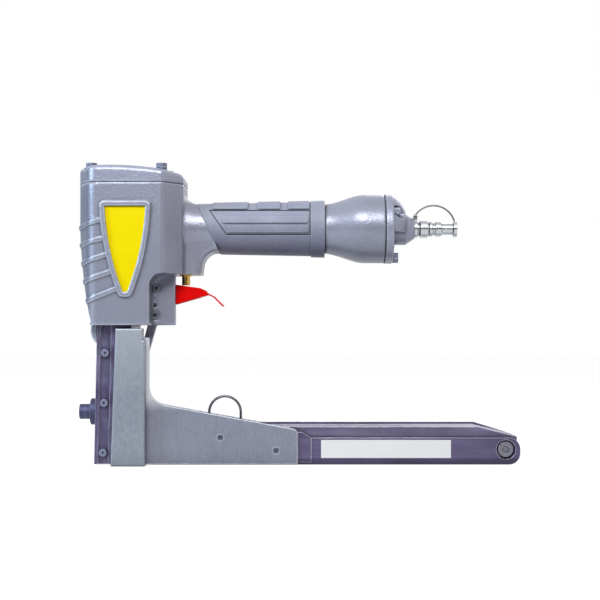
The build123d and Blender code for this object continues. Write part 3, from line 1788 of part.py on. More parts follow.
# Arms, the right one a little slimmer
with BuildPart() as left_arm:
    add(arm_plate(arm_column_x, arm_bend_top_z, arm_bend_x, arm_bend_z, arm_end_z))
save(left_arm, "left_arm")

with BuildPart() as right_arm:
    mirror(
        arm_plate(
            right_arm_column_x, right_arm_bend_top_z, right_arm_bend_x, right_arm_bend_z, right_arm_end_z
        ),
        about=Plane.XZ,
    )
save(right_arm, "right_arm")

# Magazine channel: floor, low near wall and high far wall
with BuildPart() as magazine_channel:
    extrude(
        bar(
            Plane.XY,
            magazine_front_x,
            channel_rear_x - channel_end_radius,
            -channel_half_width,
            channel_half_width,
        ),
        amount=channel_wall,
    )
    with BuildSketch(Plane.XZ.offset(channel_inner)) as near_face:
        with BuildLine():
            Polyline(
                (magazine_front_x, 0),
                (channel_rear_x, 0),
                (channel_rear_x, channel_near_z),
                (channel_tab_x, channel_near_z),
                (channel_tab_top_x, channel_tab_z),
                (magazine_front_x, channel_tab_z),
                close=True,
            )
        make_face()
        fillet(near_face.vertices().sort_by(Axis.X)[-2:], radius=channel_end_radius)
    extrude(amount=channel_wall)
    with BuildSketch(Plane.XZ.offset(-channel_half_width)) as far_face:
        with BuildLine():
            Polyline(
                (magazine_front_x, 0),
                (channel_rear_x, 0),
                (channel_rear_x, channel_near_z),
                (channel_far_slope_x, channel_far_z),
                (magazine_front_x, channel_far_z),
                close=True,
            )
        make_face()
        fillet(far_face.vertices().sort_by(Axis.X)[-2:], radius=channel_end_radius)
    extrude(amount=channel_wall)
    tab_points = [
        (0, channel_wall),
        (channel_tab_x, channel_wall),
        (channel_tab_x, channel_near_z),
        (channel_tab_top_x, channel_tab_z),
        (0, channel_tab_z),
    ]
    extrude(side_outline(tab_points, -channel_half_width), amount=channel_tab_thickness)
    extrude(
        disc(rear_bolt_window_radius, Plane.XZ.offset(channel_inner), rear_bolt_x, rear_bolt_z),
        amount=channel_wall,
        mode=Mode.SUBTRACT,
    )
    add(arm_screws.part, mode=Mode.SUBTRACT)
save(magazine_channel, "magazine_channel")

# Bolt across the rear of the rail, guide rod and the block that takes both
with BuildPart() as rear_bolt:
    add(
        socket_screw(
            Plane.XZ.offset(rail_half_width),
            rear_bolt_x,
            rear_bolt_z,
            rear_bolt_head_radius,
            rear_bolt_head_height,
            rear_bolt_radius,
            2 * rail_half_width,
        )
    )
save(rear_bolt, "rear_bolt")

with BuildPart() as guide_rod:
    extrude(
        disc(guide_rod_radius, Plane.YZ.offset(magazine_front_x), 0, guide_rod_z),
        amount=rear_block_x + guide_rod_seat - magazine_front_x,
    )
save(guide_rod, "guide_rod")

rail_inner = rail_half_width - rail_wall
with BuildPart() as rear_block:
    extrude(
        bar(Plane.YZ.offset(rear_block_x), -rail_inner, rail_inner, channel_wall, rear_block_top_z),
        amount=rear_block_length,
    )
    for fitted in (rear_bolt, guide_rod):
        add(fitted.part, mode=Mode.SUBTRACT)
save(rear_block, "rear_block")

# Staple rail: the upturned trough that the staples straddle, slotted for the pusher's tongue
with BuildPart() as staple_rail:
    rail_points = [
        (magazine_front_x, channel_wall),
        (rail_rear_x, channel_wall),
        (rail_rear_x, rail_slope_z),
        (rail_slope_x, rail_top_z),
        (magazine_front_x, rail_top_z),
    ]
    extrude(side_outline(rail_points), amount=rail_half_width, both=True)
    trough_points = [
        (magazine_front_x + rail_web, channel_wall),
        (rail_rear_x, channel_wall),
        (rail_rear_x, rail_slope_z - rail_wall),
        (rail_slope_x, rail_top_z - rail_wall),
        (magazine_front_x + rail_web, rail_top_z - rail_wall),
    ]
    extrude(side_outline(trough_points), amount=rail_inner, both=True, mode=Mode.SUBTRACT)
    extrude(
        bar(
            Plane.XY.offset(rail_top_z),
            tongue_x - running_gap,
            tongue_x + tongue_length + pusher_travel + running_gap,
            -tongue_half_width - running_gap,
            tongue_half_width + running_gap,
        ),
        amount=-rail_wall,
        mode=Mode.SUBTRACT,
    )
    for fitted in (rear_bolt, guide_rod):
        add(fitted.part, mode=Mode.SUBTRACT)
save(staple_rail, "staple_rail")

# Wire bail on the pusher
saddle_z = rail_top_z + running_gap
with BuildPart() as pusher_bail:
    with BuildLine(Plane.XZ):
        leg_top_z = saddle_z + pusher_sheet + bail_straight
        rising = Line((bail_x - bail_radius, saddle_z), (bail_x - bail_radius, leg_top_z))
        hoop = ThreePointArc(rising @ 1, (bail_x, leg_top_z + bail_radius), (bail_x + bail_radius, leg_top_z))
        Line(hoop @ 1, (bail_x + bail_radius, saddle_z))
    with BuildSketch(Plane(origin=rising @ 0, z_dir=rising % 0)):
        Circle(bail_wire_radius)
    sweep()
save(pusher_bail, "pusher_bail")

# Pusher: a saddle over the rail with a tongue that reaches down to the guide rod
with BuildPart() as pusher:
    pusher_front_x = magazine_front_x + pusher_front_gap
    skirt_inner = rail_half_width + running_gap
    skirt_outer = skirt_inner + pusher_sheet
    with BuildSketch(Plane.YZ.offset(pusher_front_x)):
        add(bar(Plane.XY, -skirt_outer, skirt_outer, pusher_skirt_z, saddle_z + pusher_sheet))
        add(bar(Plane.XY, -skirt_inner, skirt_inner, pusher_skirt_z, saddle_z), mode=Mode.SUBTRACT)
    extrude(amount=pusher_length)
    extrude(
        bar(Plane.YZ.offset(tongue_x), -tongue_half_width, tongue_half_width, tongue_bottom_z, saddle_z),
        amount=tongue_length,
    )
    extrude(
        disc(guide_rod_radius + slip, Plane.YZ.offset(tongue_x), 0, guide_rod_z),
        amount=tongue_length,
        mode=Mode.SUBTRACT,
    )
    add(pusher_bail.part, mode=Mode.SUBTRACT)
save(pusher, "pusher")

# Feed spring round the guide rod
feed_spring_x = tongue_x + tongue_length + feed_spring_wire / 2 + seat_gap
with BuildPart() as feed_spring:
    add(
        coil_solid(
            start=(feed_spring_x, 0, guide_rod_z),
            axis=(1, 0, 0),
            across=(0, 0, 1),
            radius=feed_spring_radius,
            wire=feed_spring_wire,
            length=rear_block_x - feed_spring_x - feed_spring_wire / 2 - seat_gap,
            turns=feed_spring_turns,
        )
    )
save(feed_spring, "feed_spring")

# Blank label on the near wall of the channel
with BuildPart() as blank_label:
    extrude(
        bar(Plane.XZ.offset(channel_half_width), label_front_x, label_rear_x, label_bottom_z, label_top_z),
        amount=label_thickness,
    )
save(blank_label, "blank_label")
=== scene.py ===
"""Looks of the pneumatic carton stapler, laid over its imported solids."""

import math

import bpy
from mathutils import Matrix, Vector


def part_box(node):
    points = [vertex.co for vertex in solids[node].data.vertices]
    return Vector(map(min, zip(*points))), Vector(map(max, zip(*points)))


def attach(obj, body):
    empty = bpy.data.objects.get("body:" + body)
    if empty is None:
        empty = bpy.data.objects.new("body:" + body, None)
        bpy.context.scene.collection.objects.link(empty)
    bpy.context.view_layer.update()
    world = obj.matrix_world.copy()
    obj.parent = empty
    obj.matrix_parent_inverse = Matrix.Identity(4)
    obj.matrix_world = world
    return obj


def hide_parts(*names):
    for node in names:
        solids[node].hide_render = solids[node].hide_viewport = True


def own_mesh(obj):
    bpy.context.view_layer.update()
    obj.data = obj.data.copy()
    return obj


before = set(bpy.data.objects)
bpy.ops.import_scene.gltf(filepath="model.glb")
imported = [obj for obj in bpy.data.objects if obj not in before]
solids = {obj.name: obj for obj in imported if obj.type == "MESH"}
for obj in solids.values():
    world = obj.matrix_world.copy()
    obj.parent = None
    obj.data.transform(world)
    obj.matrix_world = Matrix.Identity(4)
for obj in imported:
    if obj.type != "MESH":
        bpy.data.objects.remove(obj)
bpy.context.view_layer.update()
scene = bpy.context.scene
scene.view_settings.view_transform = "Standard"

# Camera: level with the middle of the tool and square to its left side, far enough back that
# the two sides of the magazine lie almost on each other.
camera_data = bpy.data.cameras.new("side_camera")
camera_data.sensor_width = 36.0
camera_data.lens = 67.4
camera_data.shift_y = 0.05
camera = bpy.data.objects.new("side_camera", camera_data)
camera.location = (0.0017, -0.955, 0.1119)
camera.rotation_euler = (math.radians(90), 0.0, 0.0)
scene.collection.objects.link(camera)
scene.camera = camera

# Studio surround: white as the camera and the metal see it, dimmer as a light on the tool, so
# that the lamps below shape it.
world = bpy.data.worlds.new("studio")
scene.world = world
world.use_nodes = True
sky = world.node_tree
sky_shade = sky.nodes["Background"]
sky_shade.inputs["Color"].default_value = (1.0, 1.0, 1.0, 1.0)


def seen_directly(tree):
    """1 where a ray comes from the camera, a reflection or clear glass, else 0."""
    rays = tree.nodes.new("ShaderNodeLightPath")
    share = rays.outputs["Is Camera Ray"]
    for kind in ("Is Glossy Ray", "Is Transmission Ray"):
        either = tree.nodes.new("ShaderNodeMath")
        either.operation = "MAXIMUM"
        tree.links.new(share, either.inputs[0])
        tree.links.new(rays.outputs[kind], either.inputs[1])
        share = either.outputs[0]
    return share


sky_level = sky.nodes.new("ShaderNodeMapRange")
sky_level.inputs["To Min"].default_value = 0.23
sky_level.inputs["To Max"].default_value = 1.0
sky.links.new(seen_directly(sky), sky_level.inputs["Value"])
sky.links.new(sky_level.outputs[0], sky_shade.inputs["Strength"])


def studio_plane(name, corners, colour, glow):
    """Flat stage piece in a plain matt colour, which glows where the camera or metal sees it."""
    mesh = bpy.data.meshes.new(name)
    mesh.from_pydata(corners, [], [(0, 1, 2, 3)])
    plane = bpy.data.objects.new(name, mesh)
    scene.collection.objects.link(plane)
    matt = bpy.data.materials.new(name)
    matt.use_nodes = True
    shade = matt.node_tree.nodes["Principled BSDF"]
    shade.inputs["Base Color"].default_value = (colour, colour, colour, 1.0)
    shade.inputs["Roughness"].default_value = 0.9
    shade.inputs["Specular IOR Level"].default_value = 0.0
    shade.inputs["Emission Color"].default_value = (1.0, 1.0, 1.0, 1.0)
    level = matt.node_tree.nodes.new("ShaderNodeMath")
    level.operation = "MULTIPLY"
    level.inputs[1].default_value = glow
    matt.node_tree.links.new(seen_directly(matt.node_tree), level.inputs[0])
    matt.node_tree.links.new(level.outputs[0], shade.inputs["Emission Strength"])
    mesh.materials.append(matt)
    return plane


# Floor: white paper that keeps a faint shadow of the tool. A grey cloth behind the camera and a
# dark one beyond the nose, which the camera doesn't see, give the painted sides their darker tones.
floor_reach, floor_z = 4.0, -0.0005
studio_plane(
    "floor",
    [(sx * floor_reach, sy * floor_reach, floor_z) for sx, sy in ((-1, -1), (1, -1), (1, 1), (-1, 1))],
    colour=0.35, glow=0.9,
)
cloth_top_z = 1.0
for name, left, right, colour in (
    ("grey_cloth", (-1.3, -1.8), (1.3, -1.8), 0.16),
    ("dark_cloth", (-1.2, -0.55), (-1.2, 0.9), 0.05),
):
    corners = [(*left, 0.0), (*left, cloth_top_z), (*right, cloth_top_z), (*right, 0.0)]
    cloth = studio_plane(name, corners, colour, glow=0.0)
    cloth.visible_camera = False
    cloth.visible_shadow = False


def studio_lamp(name, place, aim, size, watts, tint=(1.0, 1.0, 1.0)):
    """Soft lamp that points at a place on the tool."""
    lamp_data = bpy.data.lights.new(name, "AREA")
    lamp_data.shape = "RECTANGLE"
    lamp_data.size, lamp_data.size_y = size
    lamp_data.energy = watts
    lamp_data.color = tint
    lamp = bpy.data.objects.new(name, lamp_data)
    lamp.location = place
    lamp.rotation_euler = (lamp.location - Vector(aim)).to_track_quat("Z", "Y").to_euler()
    scene.collection.objects.link(lamp)


# Lamps: a broad one above the near side, a bluish one from the nose end that lights the front
# corner of the head, and one behind the tool.
studio_lamp("top_lamp", (-0.12, -1.15, 1.0), aim=(-0.03, 0.0, 0.14), size=(0.8, 0.5), watts=15.0)
studio_lamp(
    "nose_lamp", (-0.9, -0.42, 0.55), aim=(-0.17, 0.0, 0.21), size=(0.3, 0.4), watts=5.5,
    tint=(0.6, 0.82, 1.0),
)
studio_lamp("rear_lamp", (0.45, 1.05, 0.75), aim=(0.0, 0.0, 0.15), size=(0.6, 0.6), watts=3.0)


# Main housing: one light-alloy casting with head, neck, handle core and flared barrel.
# It is shot blasted and sprayed in a satin grey-blue paint with a fine hammered skin.
class Finish:
    """Node graph of one material, with the steps that the finishes on this tool share."""

    def __init__(self, name):
        self.material = bpy.data.materials.new(name)
        self.material.use_nodes = True
        self.tree = self.material.node_tree
        self.shader = self.tree.nodes["Principled BSDF"]
        self.place = self.node("ShaderNodeTexCoord").outputs["Object"]

    def node(self, kind, **settings):
        """Add a node and set its properties."""
        made = self.tree.nodes.new(kind)
        for key, value in settings.items():
            setattr(made, key, value)
        return made

    def feed(self, value, socket):
        """Link an output to a socket, or set the socket to a plain value."""
        if isinstance(value, bpy.types.NodeSocket):
            self.tree.links.new(value, socket)
        else:
            socket.default_value = value

    def axes(self):
        """The X, Y and Z of the place on the tool."""
        split = self.node("ShaderNodeSeparateXYZ")
        self.feed(self.place, split.inputs[0])
        return split.outputs

    def noise(self, scale, detail=3.0, stretch=(1.0, 1.0, 1.0)):
        """Cloudy pattern from 0 to 1 with so many lumps to the metre."""
        shift = self.node("ShaderNodeMapping")
        shift.inputs["Scale"].default_value = stretch
        self.feed(self.place, shift.inputs["Vector"])
        cloud = self.node("ShaderNodeTexNoise")
        cloud.inputs["Scale"].default_value = scale
        cloud.inputs["Detail"].default_value = detail
        self.feed(shift.outputs[0], cloud.inputs["Vector"])
        return cloud.outputs["Fac"]

    def cells(self, scale):
        """Distance to the nearest of many scattered points."""
        dots = self.node("ShaderNodeTexVoronoi")
        dots.inputs["Scale"].default_value = scale
        self.feed(self.place, dots.inputs["Vector"])
        return dots.outputs["Distance"]

    def span(self, value, low, high, first, last):
        """Stretch a value from one range to another, held at both ends."""
        step = self.node("ShaderNodeMapRange")
        self.feed(value, step.inputs["Value"])
        for name, number in zip(("From Min", "From Max", "To Min", "To Max"), (low, high, first, last)):
            step.inputs[name].default_value = number
        return step.outputs[0]

    def math(self, operation, first, second):
        """Arithmetic on two values."""
        step = self.node("ShaderNodeMath", operation=operation)
        self.feed(first, step.inputs[0])
        self.feed(second, step.inputs[1])
        return step.outputs[0]

    def mix(self, share, first, second):
        """Blend of two colours."""
        step = self.node("ShaderNodeMix", data_type="RGBA")
        self.feed(share, step.inputs["Factor"])
        for colour, socket in ((first, step.inputs["A"]), (second, step.inputs["B"])):
            self.feed((*colour, 1.0) if isinstance(colour, tuple) else colour, socket)
        return step.outputs["Result"]

    def stain(self, colour, amount, share, over):
        """Lay another colour over one, where an amount says so, at most by a share."""
        return self.mix(self.math("MULTIPLY", amount, share), colour, over)

    def within(self, value, start, stop, rise, fall):
        """1 between two values, with a soft rise after the first and a soft fall after the second."""
        begun = self.span(value, start, start + rise, 0.0, 1.0)
        return self.math("MULTIPLY", begun, self.span(value, stop, stop + fall, 1.0, 0.0))

    def edge_wear_and_highlight(self, radius):
        """Share of rubbing and painted highlight along sharp edges, from how far a rounded normal leans."""
        rounded = self.node("ShaderNodeBevel", samples=6)
        rounded.inputs["Radius"].default_value = radius
        lean = self.node("ShaderNodeVectorMath", operation="DOT_PRODUCT")
        self.feed(rounded.outputs[0], lean.inputs[0])
        self.feed(self.node("ShaderNodeNewGeometry").outputs["True Normal"], lean.inputs[1])
        return self.span(lean.outputs["Value"], 0.995, 0.82, 0.0, 1.0)

    def crest_wear_and_highlight(self, distance):
        """Share of rubbing and painted highlight on ridges and rounded edges, where the far side of the metal
        is near.
        """
        thin = self.node("ShaderNodeAmbientOcclusion", samples=6, inside=True)
        thin.inputs["Distance"].default_value = distance
        return self.span(thin.outputs["AO"], 0.92, 0.6, 0.0, 1.0)

    def corner_shade(self, distance, closed=0.35, clear=0.9):
        """Share of painted shade in corners and under ledges, from how closed in they are."""
        shade = self.node("ShaderNodeAmbientOcclusion", samples=6)
        shade.inputs["Distance"].default_value = distance
        return self.span(shade.outputs["AO"], closed, clear, 1.0, 0.0)

    def surface(self, colour, roughness, height, depth, soften, metallic=0.0):
        """Wire colour, roughness and bump to the shader, with edges softened by a small radius."""
        self.feed(colour, self.shader.inputs["Base Color"])
        self.feed(roughness, self.shader.inputs["Roughness"])
        self.shader.inputs["Metallic"].default_value = metallic
        rounded = self.node("ShaderNodeBevel", samples=8)
        self.feed(soften, rounded.inputs["Radius"])
        bump = self.node("ShaderNodeBump")
        bump.inputs["Distance"].default_value = depth
        self.feed(height, bump.inputs["Height"])
        self.feed(rounded.outputs[0], bump.inputs["Normal"])
        self.feed(bump.outputs[0], self.shader.inputs["Normal"])
        return self.material


def dress(material, *names):
    """Give solids their finished material."""
    for name in names:
        solids[name].data.materials.clear()
        solids[name].data.materials.append(material)


def shaded(colour, factor):
    """A colour made darker or lighter by a factor."""
    return tuple(min(1.0, factor * c) for c in colour)


# Pale paint for the fine specks, and for the rubbed edges, where it is also a painted highlight.
pale_paint = (0.66, 0.72, 0.85)
ridge_end_x = -0.1235
casting_soften = 0.0022
corner_soften = 0.0035


def sprayed_paint(name, base, soft_corners=()):
    """Sprayed paint on metal: clouded colour, hammered skin, painted shade in corners, and edges rubbed
    lighter with a painted highlight.

    Soft corners, each from X to X and Z to Z, are rounded off more than the rest of the casting.
    The ridges are rubbed and given a painted highlight in front of ridge_end_x, on ribs and badge frame, and
    hardly at all behind it.
    """
    paint = Finish(name)
    cloud = paint.span(paint.noise(26.0, 4.0), 0.35, 0.7, 0.0, 1.0)
    speck = paint.span(paint.noise(1500.0, 2.0), 0.35, 0.65, 0.0, 0.16)
    body = paint.mix(cloud, shaded(base, 0.84), base)
    body = paint.mix(speck, body, pale_paint)
    # Painted shade in the corners and under the ledges of the casting.
    for painted_shade, share in ((paint.corner_shade(0.006), 0.3), (paint.corner_shade(0.0028, 0.6, 0.97), 0.95)):
        body = paint.stain(body, painted_shade, share, shaded(base, 0.24))
    along, _, up = paint.axes()
    # Painted highlight, with rubbing, on the ridges in front of ridge_end_x and on all edges.
    in_front = paint.span(along, ridge_end_x, ridge_end_x + 0.002, 1.0, 0.15)
    ridges = paint.math("MULTIPLY", paint.crest_wear_and_highlight(0.0022), in_front)
    edges = paint.math("MAXIMUM", paint.edge_wear_and_highlight(0.0011), ridges)
    patchy = paint.span(paint.noise(160.0), 0.35, 0.65, 0.35, 0.75)
    body = paint.stain(body, edges, patchy, pale_paint)
    rough = paint.span(cloud, 0.0, 1.0, 0.4, 0.3)
    skin = paint.math("ADD", paint.noise(620.0, 2.0), paint.math("MULTIPLY", paint.cells(434.0), 0.6))
    soften = casting_soften
    for start_x, stop_x, foot_z, top_z in soft_corners:
        inside = paint.math(
            "MULTIPLY",
            paint.within(along, start_x, stop_x, rise=0.002, fall=0.008),
            paint.within(up, foot_z, top_z, rise=0.012, fall=0.002),
        )
        soften = paint.math("ADD", paint.math("MULTIPLY", inside, corner_soften), soften)
    return paint.surface(body, rough, metallic=0.35, height=skin, depth=0.00014, soften=soften)


head_front_corner = (-0.2, -0.17, 0.196, 0.26)
bracket_recess = (-0.132, -0.114, 0.09, 0.168)
housing_paint = sprayed_paint("housing_paint", (0.285, 0.288, 0.375), [head_front_corner, bracket_recess])
dress(housing_paint, "main_housing")

# Head cap and end cap: castings of the same alloy that close the two ends.
# They carry a lighter, bluer copy of the housing paint, as painted light on them.
dress(sprayed_paint("lit_cap_paint", (0.33, 0.337, 0.44)), "head_cap", "end_cap")

# Gaskets and seals: thin black rubber sheet and rings between the castings and on the piston.
# Only their rims show, as dark lines under the head cap and in front of the end cap.
seal_rubber = Finish("seal_rubber")
seal_cloud = seal_rubber.span(seal_rubber.noise(220.0), 0.3, 0.7, 0.0, 1.0)
dress(
    seal_rubber.surface(
        seal_rubber.mix(seal_cloud, (0.018, 0.018, 0.02), (0.045, 0.045, 0.05)),
        seal_rubber.span(seal_cloud, 0.0, 1.0, 0.6, 0.8),
        height=seal_rubber.noise(1800.0), depth=0.00003, soften=0.0002,
    ),
    "head_gasket", "end_cap_gasket", "sleeve_seals", "piston_seal", "bumper", "head_valve_seal",
)

# Badges: one blank yellow plastic plate set into the cast frame on each side of the head.
# The moulded face is smooth and glossy, and lies just below the rim of its frame.
yellow_plastic = Finish("yellow_plastic")
yellow_plastic.shader.inputs["Specular IOR Level"].default_value = 0.12
yellow_cloud = yellow_plastic.span(yellow_plastic.noise(60.0), 0.3, 0.7, 0.0, 1.0)
dress(
    yellow_plastic.surface(
        yellow_plastic.mix(yellow_cloud, (0.93, 0.71, 0.0), (0.97, 0.76, 0.0)),
        yellow_plastic.span(yellow_cloud, 0.0, 1.0, 0.3, 0.38),
        height=yellow_plastic.noise(900.0), depth=0.00002, soften=0.0003,
    ),
    "badge_inlays",
)


# Cap screws, end cap screws, nose screws and the bolts of nose and magazine: socket head screws of
# hardened steel, rolled with a knurl round the head and sunk into their castings.
def tree_inputs(tree, **kinds):
    """Named inputs of a geometry tree, and the identifier of each."""
    return {
        name: tree.interface.new_socket(name, in_out="INPUT", socket_type=f"NodeSocket{kind}").identifier
        for name, kind in kinds.items()
    }


def wire_nodes(tree, links):
    """Join outputs to inputs, each given as a node and a socket's name or number."""
    for node_from, out, node_to, entry in links:
        tree.links.new(node_from.outputs[out], node_to.inputs[entry])


def set_in(node, **values):
    """Set plain values on a node's inputs."""
    for name, value in values.items():
        node.inputs[name.replace("_", " ")].default_value = value
    return node


def grow(name, tree, identifiers, points, **sizes):
    """Run a geometry tree on a set of points and keep the result as a plain mesh at the origin."""
    seed_mesh = bpy.data.meshes.new(name + "_points")
    seed_mesh.from_pydata(points, [], [])
    maker = bpy.data.objects.new(name + "_maker", seed_mesh)
    scene.collection.objects.link(maker)
    for label in ("aim", "head", "shank"):
        if label in sizes:
            values = sizes.pop(label)
            spread = seed_mesh.attributes.new(label, "FLOAT_VECTOR", "POINT")
            spread.data.foreach_set("vector", [c for v in values for c in v])
    run = maker.modifiers.new("grow", "NODES")
    run.node_group = tree
    for key, value in sizes.items():
        run[identifiers[key]] = value
    graph = bpy.context.evaluated_depsgraph_get()
    mesh = bpy.data.meshes.new_from_object(maker.evaluated_get(graph))
    maker.modifiers.remove(run)
    bpy.data.objects.remove(maker)
    mesh.name = name
    piece = bpy.data.objects.new(name, mesh)
    scene.collection.objects.link(piece)
    return piece


screw_tree = bpy.data.node_groups.new("socket_screw_set", "GeometryNodeTree")
screw_inputs = tree_inputs(
    screw_tree, Places="Geometry", Ridges="Int", Knurl="Float", Socket="Float", Finish="Material"
)
screw_tree.interface.new_socket("Screws", in_out="OUTPUT", socket_type="NodeSocketGeometry")
add_node = screw_tree.nodes.new
asked, made = add_node("NodeGroupInput"), add_node("NodeGroupOutput")
knurl = set_in(add_node("GeometryNodeCurveStar"), Outer_Radius=1.0)
hexagon = set_in(add_node("GeometryNodeCurvePrimitiveCircle"), Resolution=6)
both_rims = add_node("GeometryNodeJoinGeometry")
ring_face, full_face = add_node("GeometryNodeFillCurve"), add_node("GeometryNodeFillCurve")
rim_wall = set_in(add_node("GeometryNodeExtrudeMesh"), Offset_Scale=0.5, Individual=False)
body_wall = set_in(add_node("GeometryNodeExtrudeMesh"), Offset_Scale=0.5, Individual=False)
under = add_node("GeometryNodeFlipFaces")
lift = set_in(add_node("GeometryNodeTransform"), Translation=(0.0, 0.0, 0.5))
head_parts = add_node("GeometryNodeJoinGeometry")
head_shape = set_in(add_node("GeometryNodeMergeByDistance"), Distance=0.0005)
shank_shape = set_in(add_node("GeometryNodeMeshCylinder"), Vertices=24, Radius=1.0, Depth=1.0)
shank_drop = set_in(add_node("GeometryNodeTransform"), Translation=(0.0, 0.0, -0.5))
read = {}
for label in ("aim", "head", "shank"):
    read[label] = set_in(add_node("GeometryNodeInputNamedAttribute"), Name=label)
    read[label].data_type = "FLOAT_VECTOR"
turn = add_node("FunctionNodeAlignRotationToVector")
turn.axis = "Z"
set_heads, set_shanks = add_node("GeometryNodeInstanceOnPoints"), add_node("GeometryNodeInstanceOnPoints")
all_screws = add_node("GeometryNodeJoinGeometry")
real, coat = add_node("GeometryNodeRealizeInstances"), add_node("GeometryNodeSetMaterial")
wire_nodes(screw_tree, [
    (asked, "Ridges", knurl, "Points"), (asked, "Knurl", knurl, "Inner Radius"),
    (asked, "Socket", hexagon, "Radius"),
    (hexagon, "Curve", both_rims, 0), (knurl, "Curve", both_rims, 0),
    (both_rims, 0, ring_face, "Curve"), (knurl, "Curve", full_face, "Curve"),
    (ring_face, "Mesh", rim_wall, "Mesh"), (full_face, "Mesh", body_wall, "Mesh"),
    (full_face, "Mesh", under, "Mesh"), (rim_wall, "Mesh", lift, "Geometry"),
    (lift, "Geometry", head_parts, 0), (body_wall, "Mesh", head_parts, 0), (under, "Mesh", head_parts, 0),
    (head_parts, 0, head_shape, "Geometry"),
    (shank_shape, "Mesh", shank_drop, "Geometry"),
    (read["aim"], "Attribute", turn, "Vector"),
    (asked, "Places", set_heads, "Points"), (head_shape, 0, set_heads, "Instance"),
    (turn, 0, set_heads, "Rotation"), (read["head"], "Attribute", set_heads, "Scale"),
    (asked, "Places", set_shanks, "Points"), (shank_drop, "Geometry", set_shanks, "Instance"),
    (turn, 0, set_shanks, "Rotation"), (read["shank"], "Attribute", set_shanks, "Scale"),
    (set_heads, 0, all_screws, 0), (set_shanks, 0, all_screws, 0),
    (all_screws, 0, real, 0), (real, 0, coat, "Geometry"), (asked, "Finish", coat, "Material"),
    (coat, "Geometry", made, 0),
])


def screw_steel(name, dark, light, rim_wear_and_glint, sheen=0.28):
    """Hardened, oiled steel: clouded, with rims rubbed bright and painted with a highlight, and painted shade
    in corners.
    """
    steel = Finish(name)
    patchy = steel.span(steel.noise(900.0), 0.35, 0.6, 0.5, 1.0)
    tone = steel.mix(steel.noise(900.0), dark, light)
    tone = steel.stain(tone, steel.edge_wear_and_highlight(0.0005), patchy, rim_wear_and_glint)
    # Painted shade in the corners round the head.
    tone = steel.stain(tone, steel.corner_shade(0.003), 0.7, shaded(dark, 0.2))
    rough = steel.span(steel.noise(700.0), 0.3, 0.7, sheen, sheen + 0.18)
    return steel.surface(tone, rough, metallic=0.85, height=steel.noise(1600.0), depth=0.00001, soften=0.0003)


def socket_screws(name, finish, node, seats, aims, head, shank, knurl=0.955, socket=0.55):
    """Screws in place of a node, each with a seat and an aim, and all of one size.

    A head is given by its radius and height, and a shank by its radius and depth.
    """
    head_radius, head_height = head
    shank_radius, shank_depth = shank
    piece = grow(
        name, screw_tree, screw_inputs, seats,
        aim=aims,
        head=[(head_radius, head_radius, head_height)] * len(seats),
        shank=[(shank_radius, shank_radius, shank_depth)] * len(seats),
        Ridges=40, Knurl=knurl, Socket=socket, Finish=finish,
    )
    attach(piece, "frame")
    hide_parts(node)


black_oxide = screw_steel("black_oxide", (0.07, 0.08, 0.13), (0.14, 0.155, 0.225), (0.5, 0.53, 0.63))
cap_low, cap_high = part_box("cap_screws")
cap_middle_x = (cap_low[0] + cap_high[0]) / 2
cap_half_pitch_x, cap_half_pitch_y = 0.029, 0.024
cap_head_height = 0.006
socket_screws(
    "head_cap_screws", black_oxide, "cap_screws",
    seats=[
        (cap_middle_x + sx * cap_half_pitch_x, sy * cap_half_pitch_y, cap_high[2] - cap_head_height)
        for sx in (-1, 1) for sy in (-1, 1)
    ],
    aims=[(0, 0, 1)] * 4, head=(0.0045, cap_head_height), shank=(0.003, 0.028),
)
end_head_height = 0.005
end_seat_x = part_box("end_cap_screws")[1][0] - end_head_height
end_circle_radius = 0.0244
handle_z = 0.1976
end_angles = [math.radians(angle) for angle in (30, 150, 270)]
socket_screws(
    "end_screws", black_oxide, "end_cap_screws",
    seats=[
        (end_seat_x, end_circle_radius * math.cos(turn), handle_z + end_circle_radius * math.sin(turn))
        for turn in end_angles
    ],
    aims=[(1, 0, 0)] * 3, head=(0.0043, end_head_height), shank=(0.0025, 0.02),
)

# Cylinder, piston and head valve: machined light alloy inside the head.
# The turning marks run round them, and the piston slides on its rubber ring.
light_alloy = Finish("light_alloy")
turned = light_alloy.noise(120.0, 2.0, (1.0, 1.0, 30.0))
dress(
    light_alloy.surface(
        light_alloy.mix(turned, (0.5, 0.51, 0.53), (0.68, 0.69, 0.7)),
        light_alloy.span(turned, 0.3, 0.7, 0.25, 0.42),
        metallic=1.0, height=turned, depth=0.00004, soften=0.0003,
    ),
    "cylinder_sleeve", "piston", "head_valve",
)


# Springs: cold-wound oiled steel wire with closed end turns. One presses the head valve down, one
# the trigger valve's stem, one the clincher yoke and a long one the pusher.
coil_tree = bpy.data.node_groups.new("wound_spring", "GeometryNodeTree")
coil_inputs = tree_inputs(
    coil_tree, Radius="Float", Wire="Float", Length="Float", Turns="Float",
    End_Share="Float", End_Rise="Float", Steps="Int", Finish="Material",
)
coil_tree.interface.new_socket("Spring", in_out="OUTPUT", socket_type="NodeSocketGeometry")
add_node = coil_tree.nodes.new
asked, made = add_node("NodeGroupInput"), add_node("NodeGroupOutput")


def coil_math(operation, first, second):
    """Arithmetic in the spring's tree on outputs or plain numbers."""
    step = add_node("ShaderNodeMath")
    step.operation = operation
    for value, socket in ((first, step.inputs[0]), (second, step.inputs[1])):
        if isinstance(value, bpy.types.NodeSocket):
            coil_tree.links.new(value, socket)
        else:
            socket.default_value = value
    return step.outputs[0]


def coil_rise(start, stop, height):
    """Height that the wire climbs between two places along it, each a share of its length."""
    step = add_node("ShaderNodeMapRange")
    for value, socket in (
        (way.outputs["Factor"], "Value"), (start, "From Min"), (stop, "From Max"), (height, "To Max")
    ):
        if isinstance(value, bpy.types.NodeSocket):
            coil_tree.links.new(value, step.inputs[socket])
        else:
            step.inputs[socket].default_value = value
    return step.outputs[0]


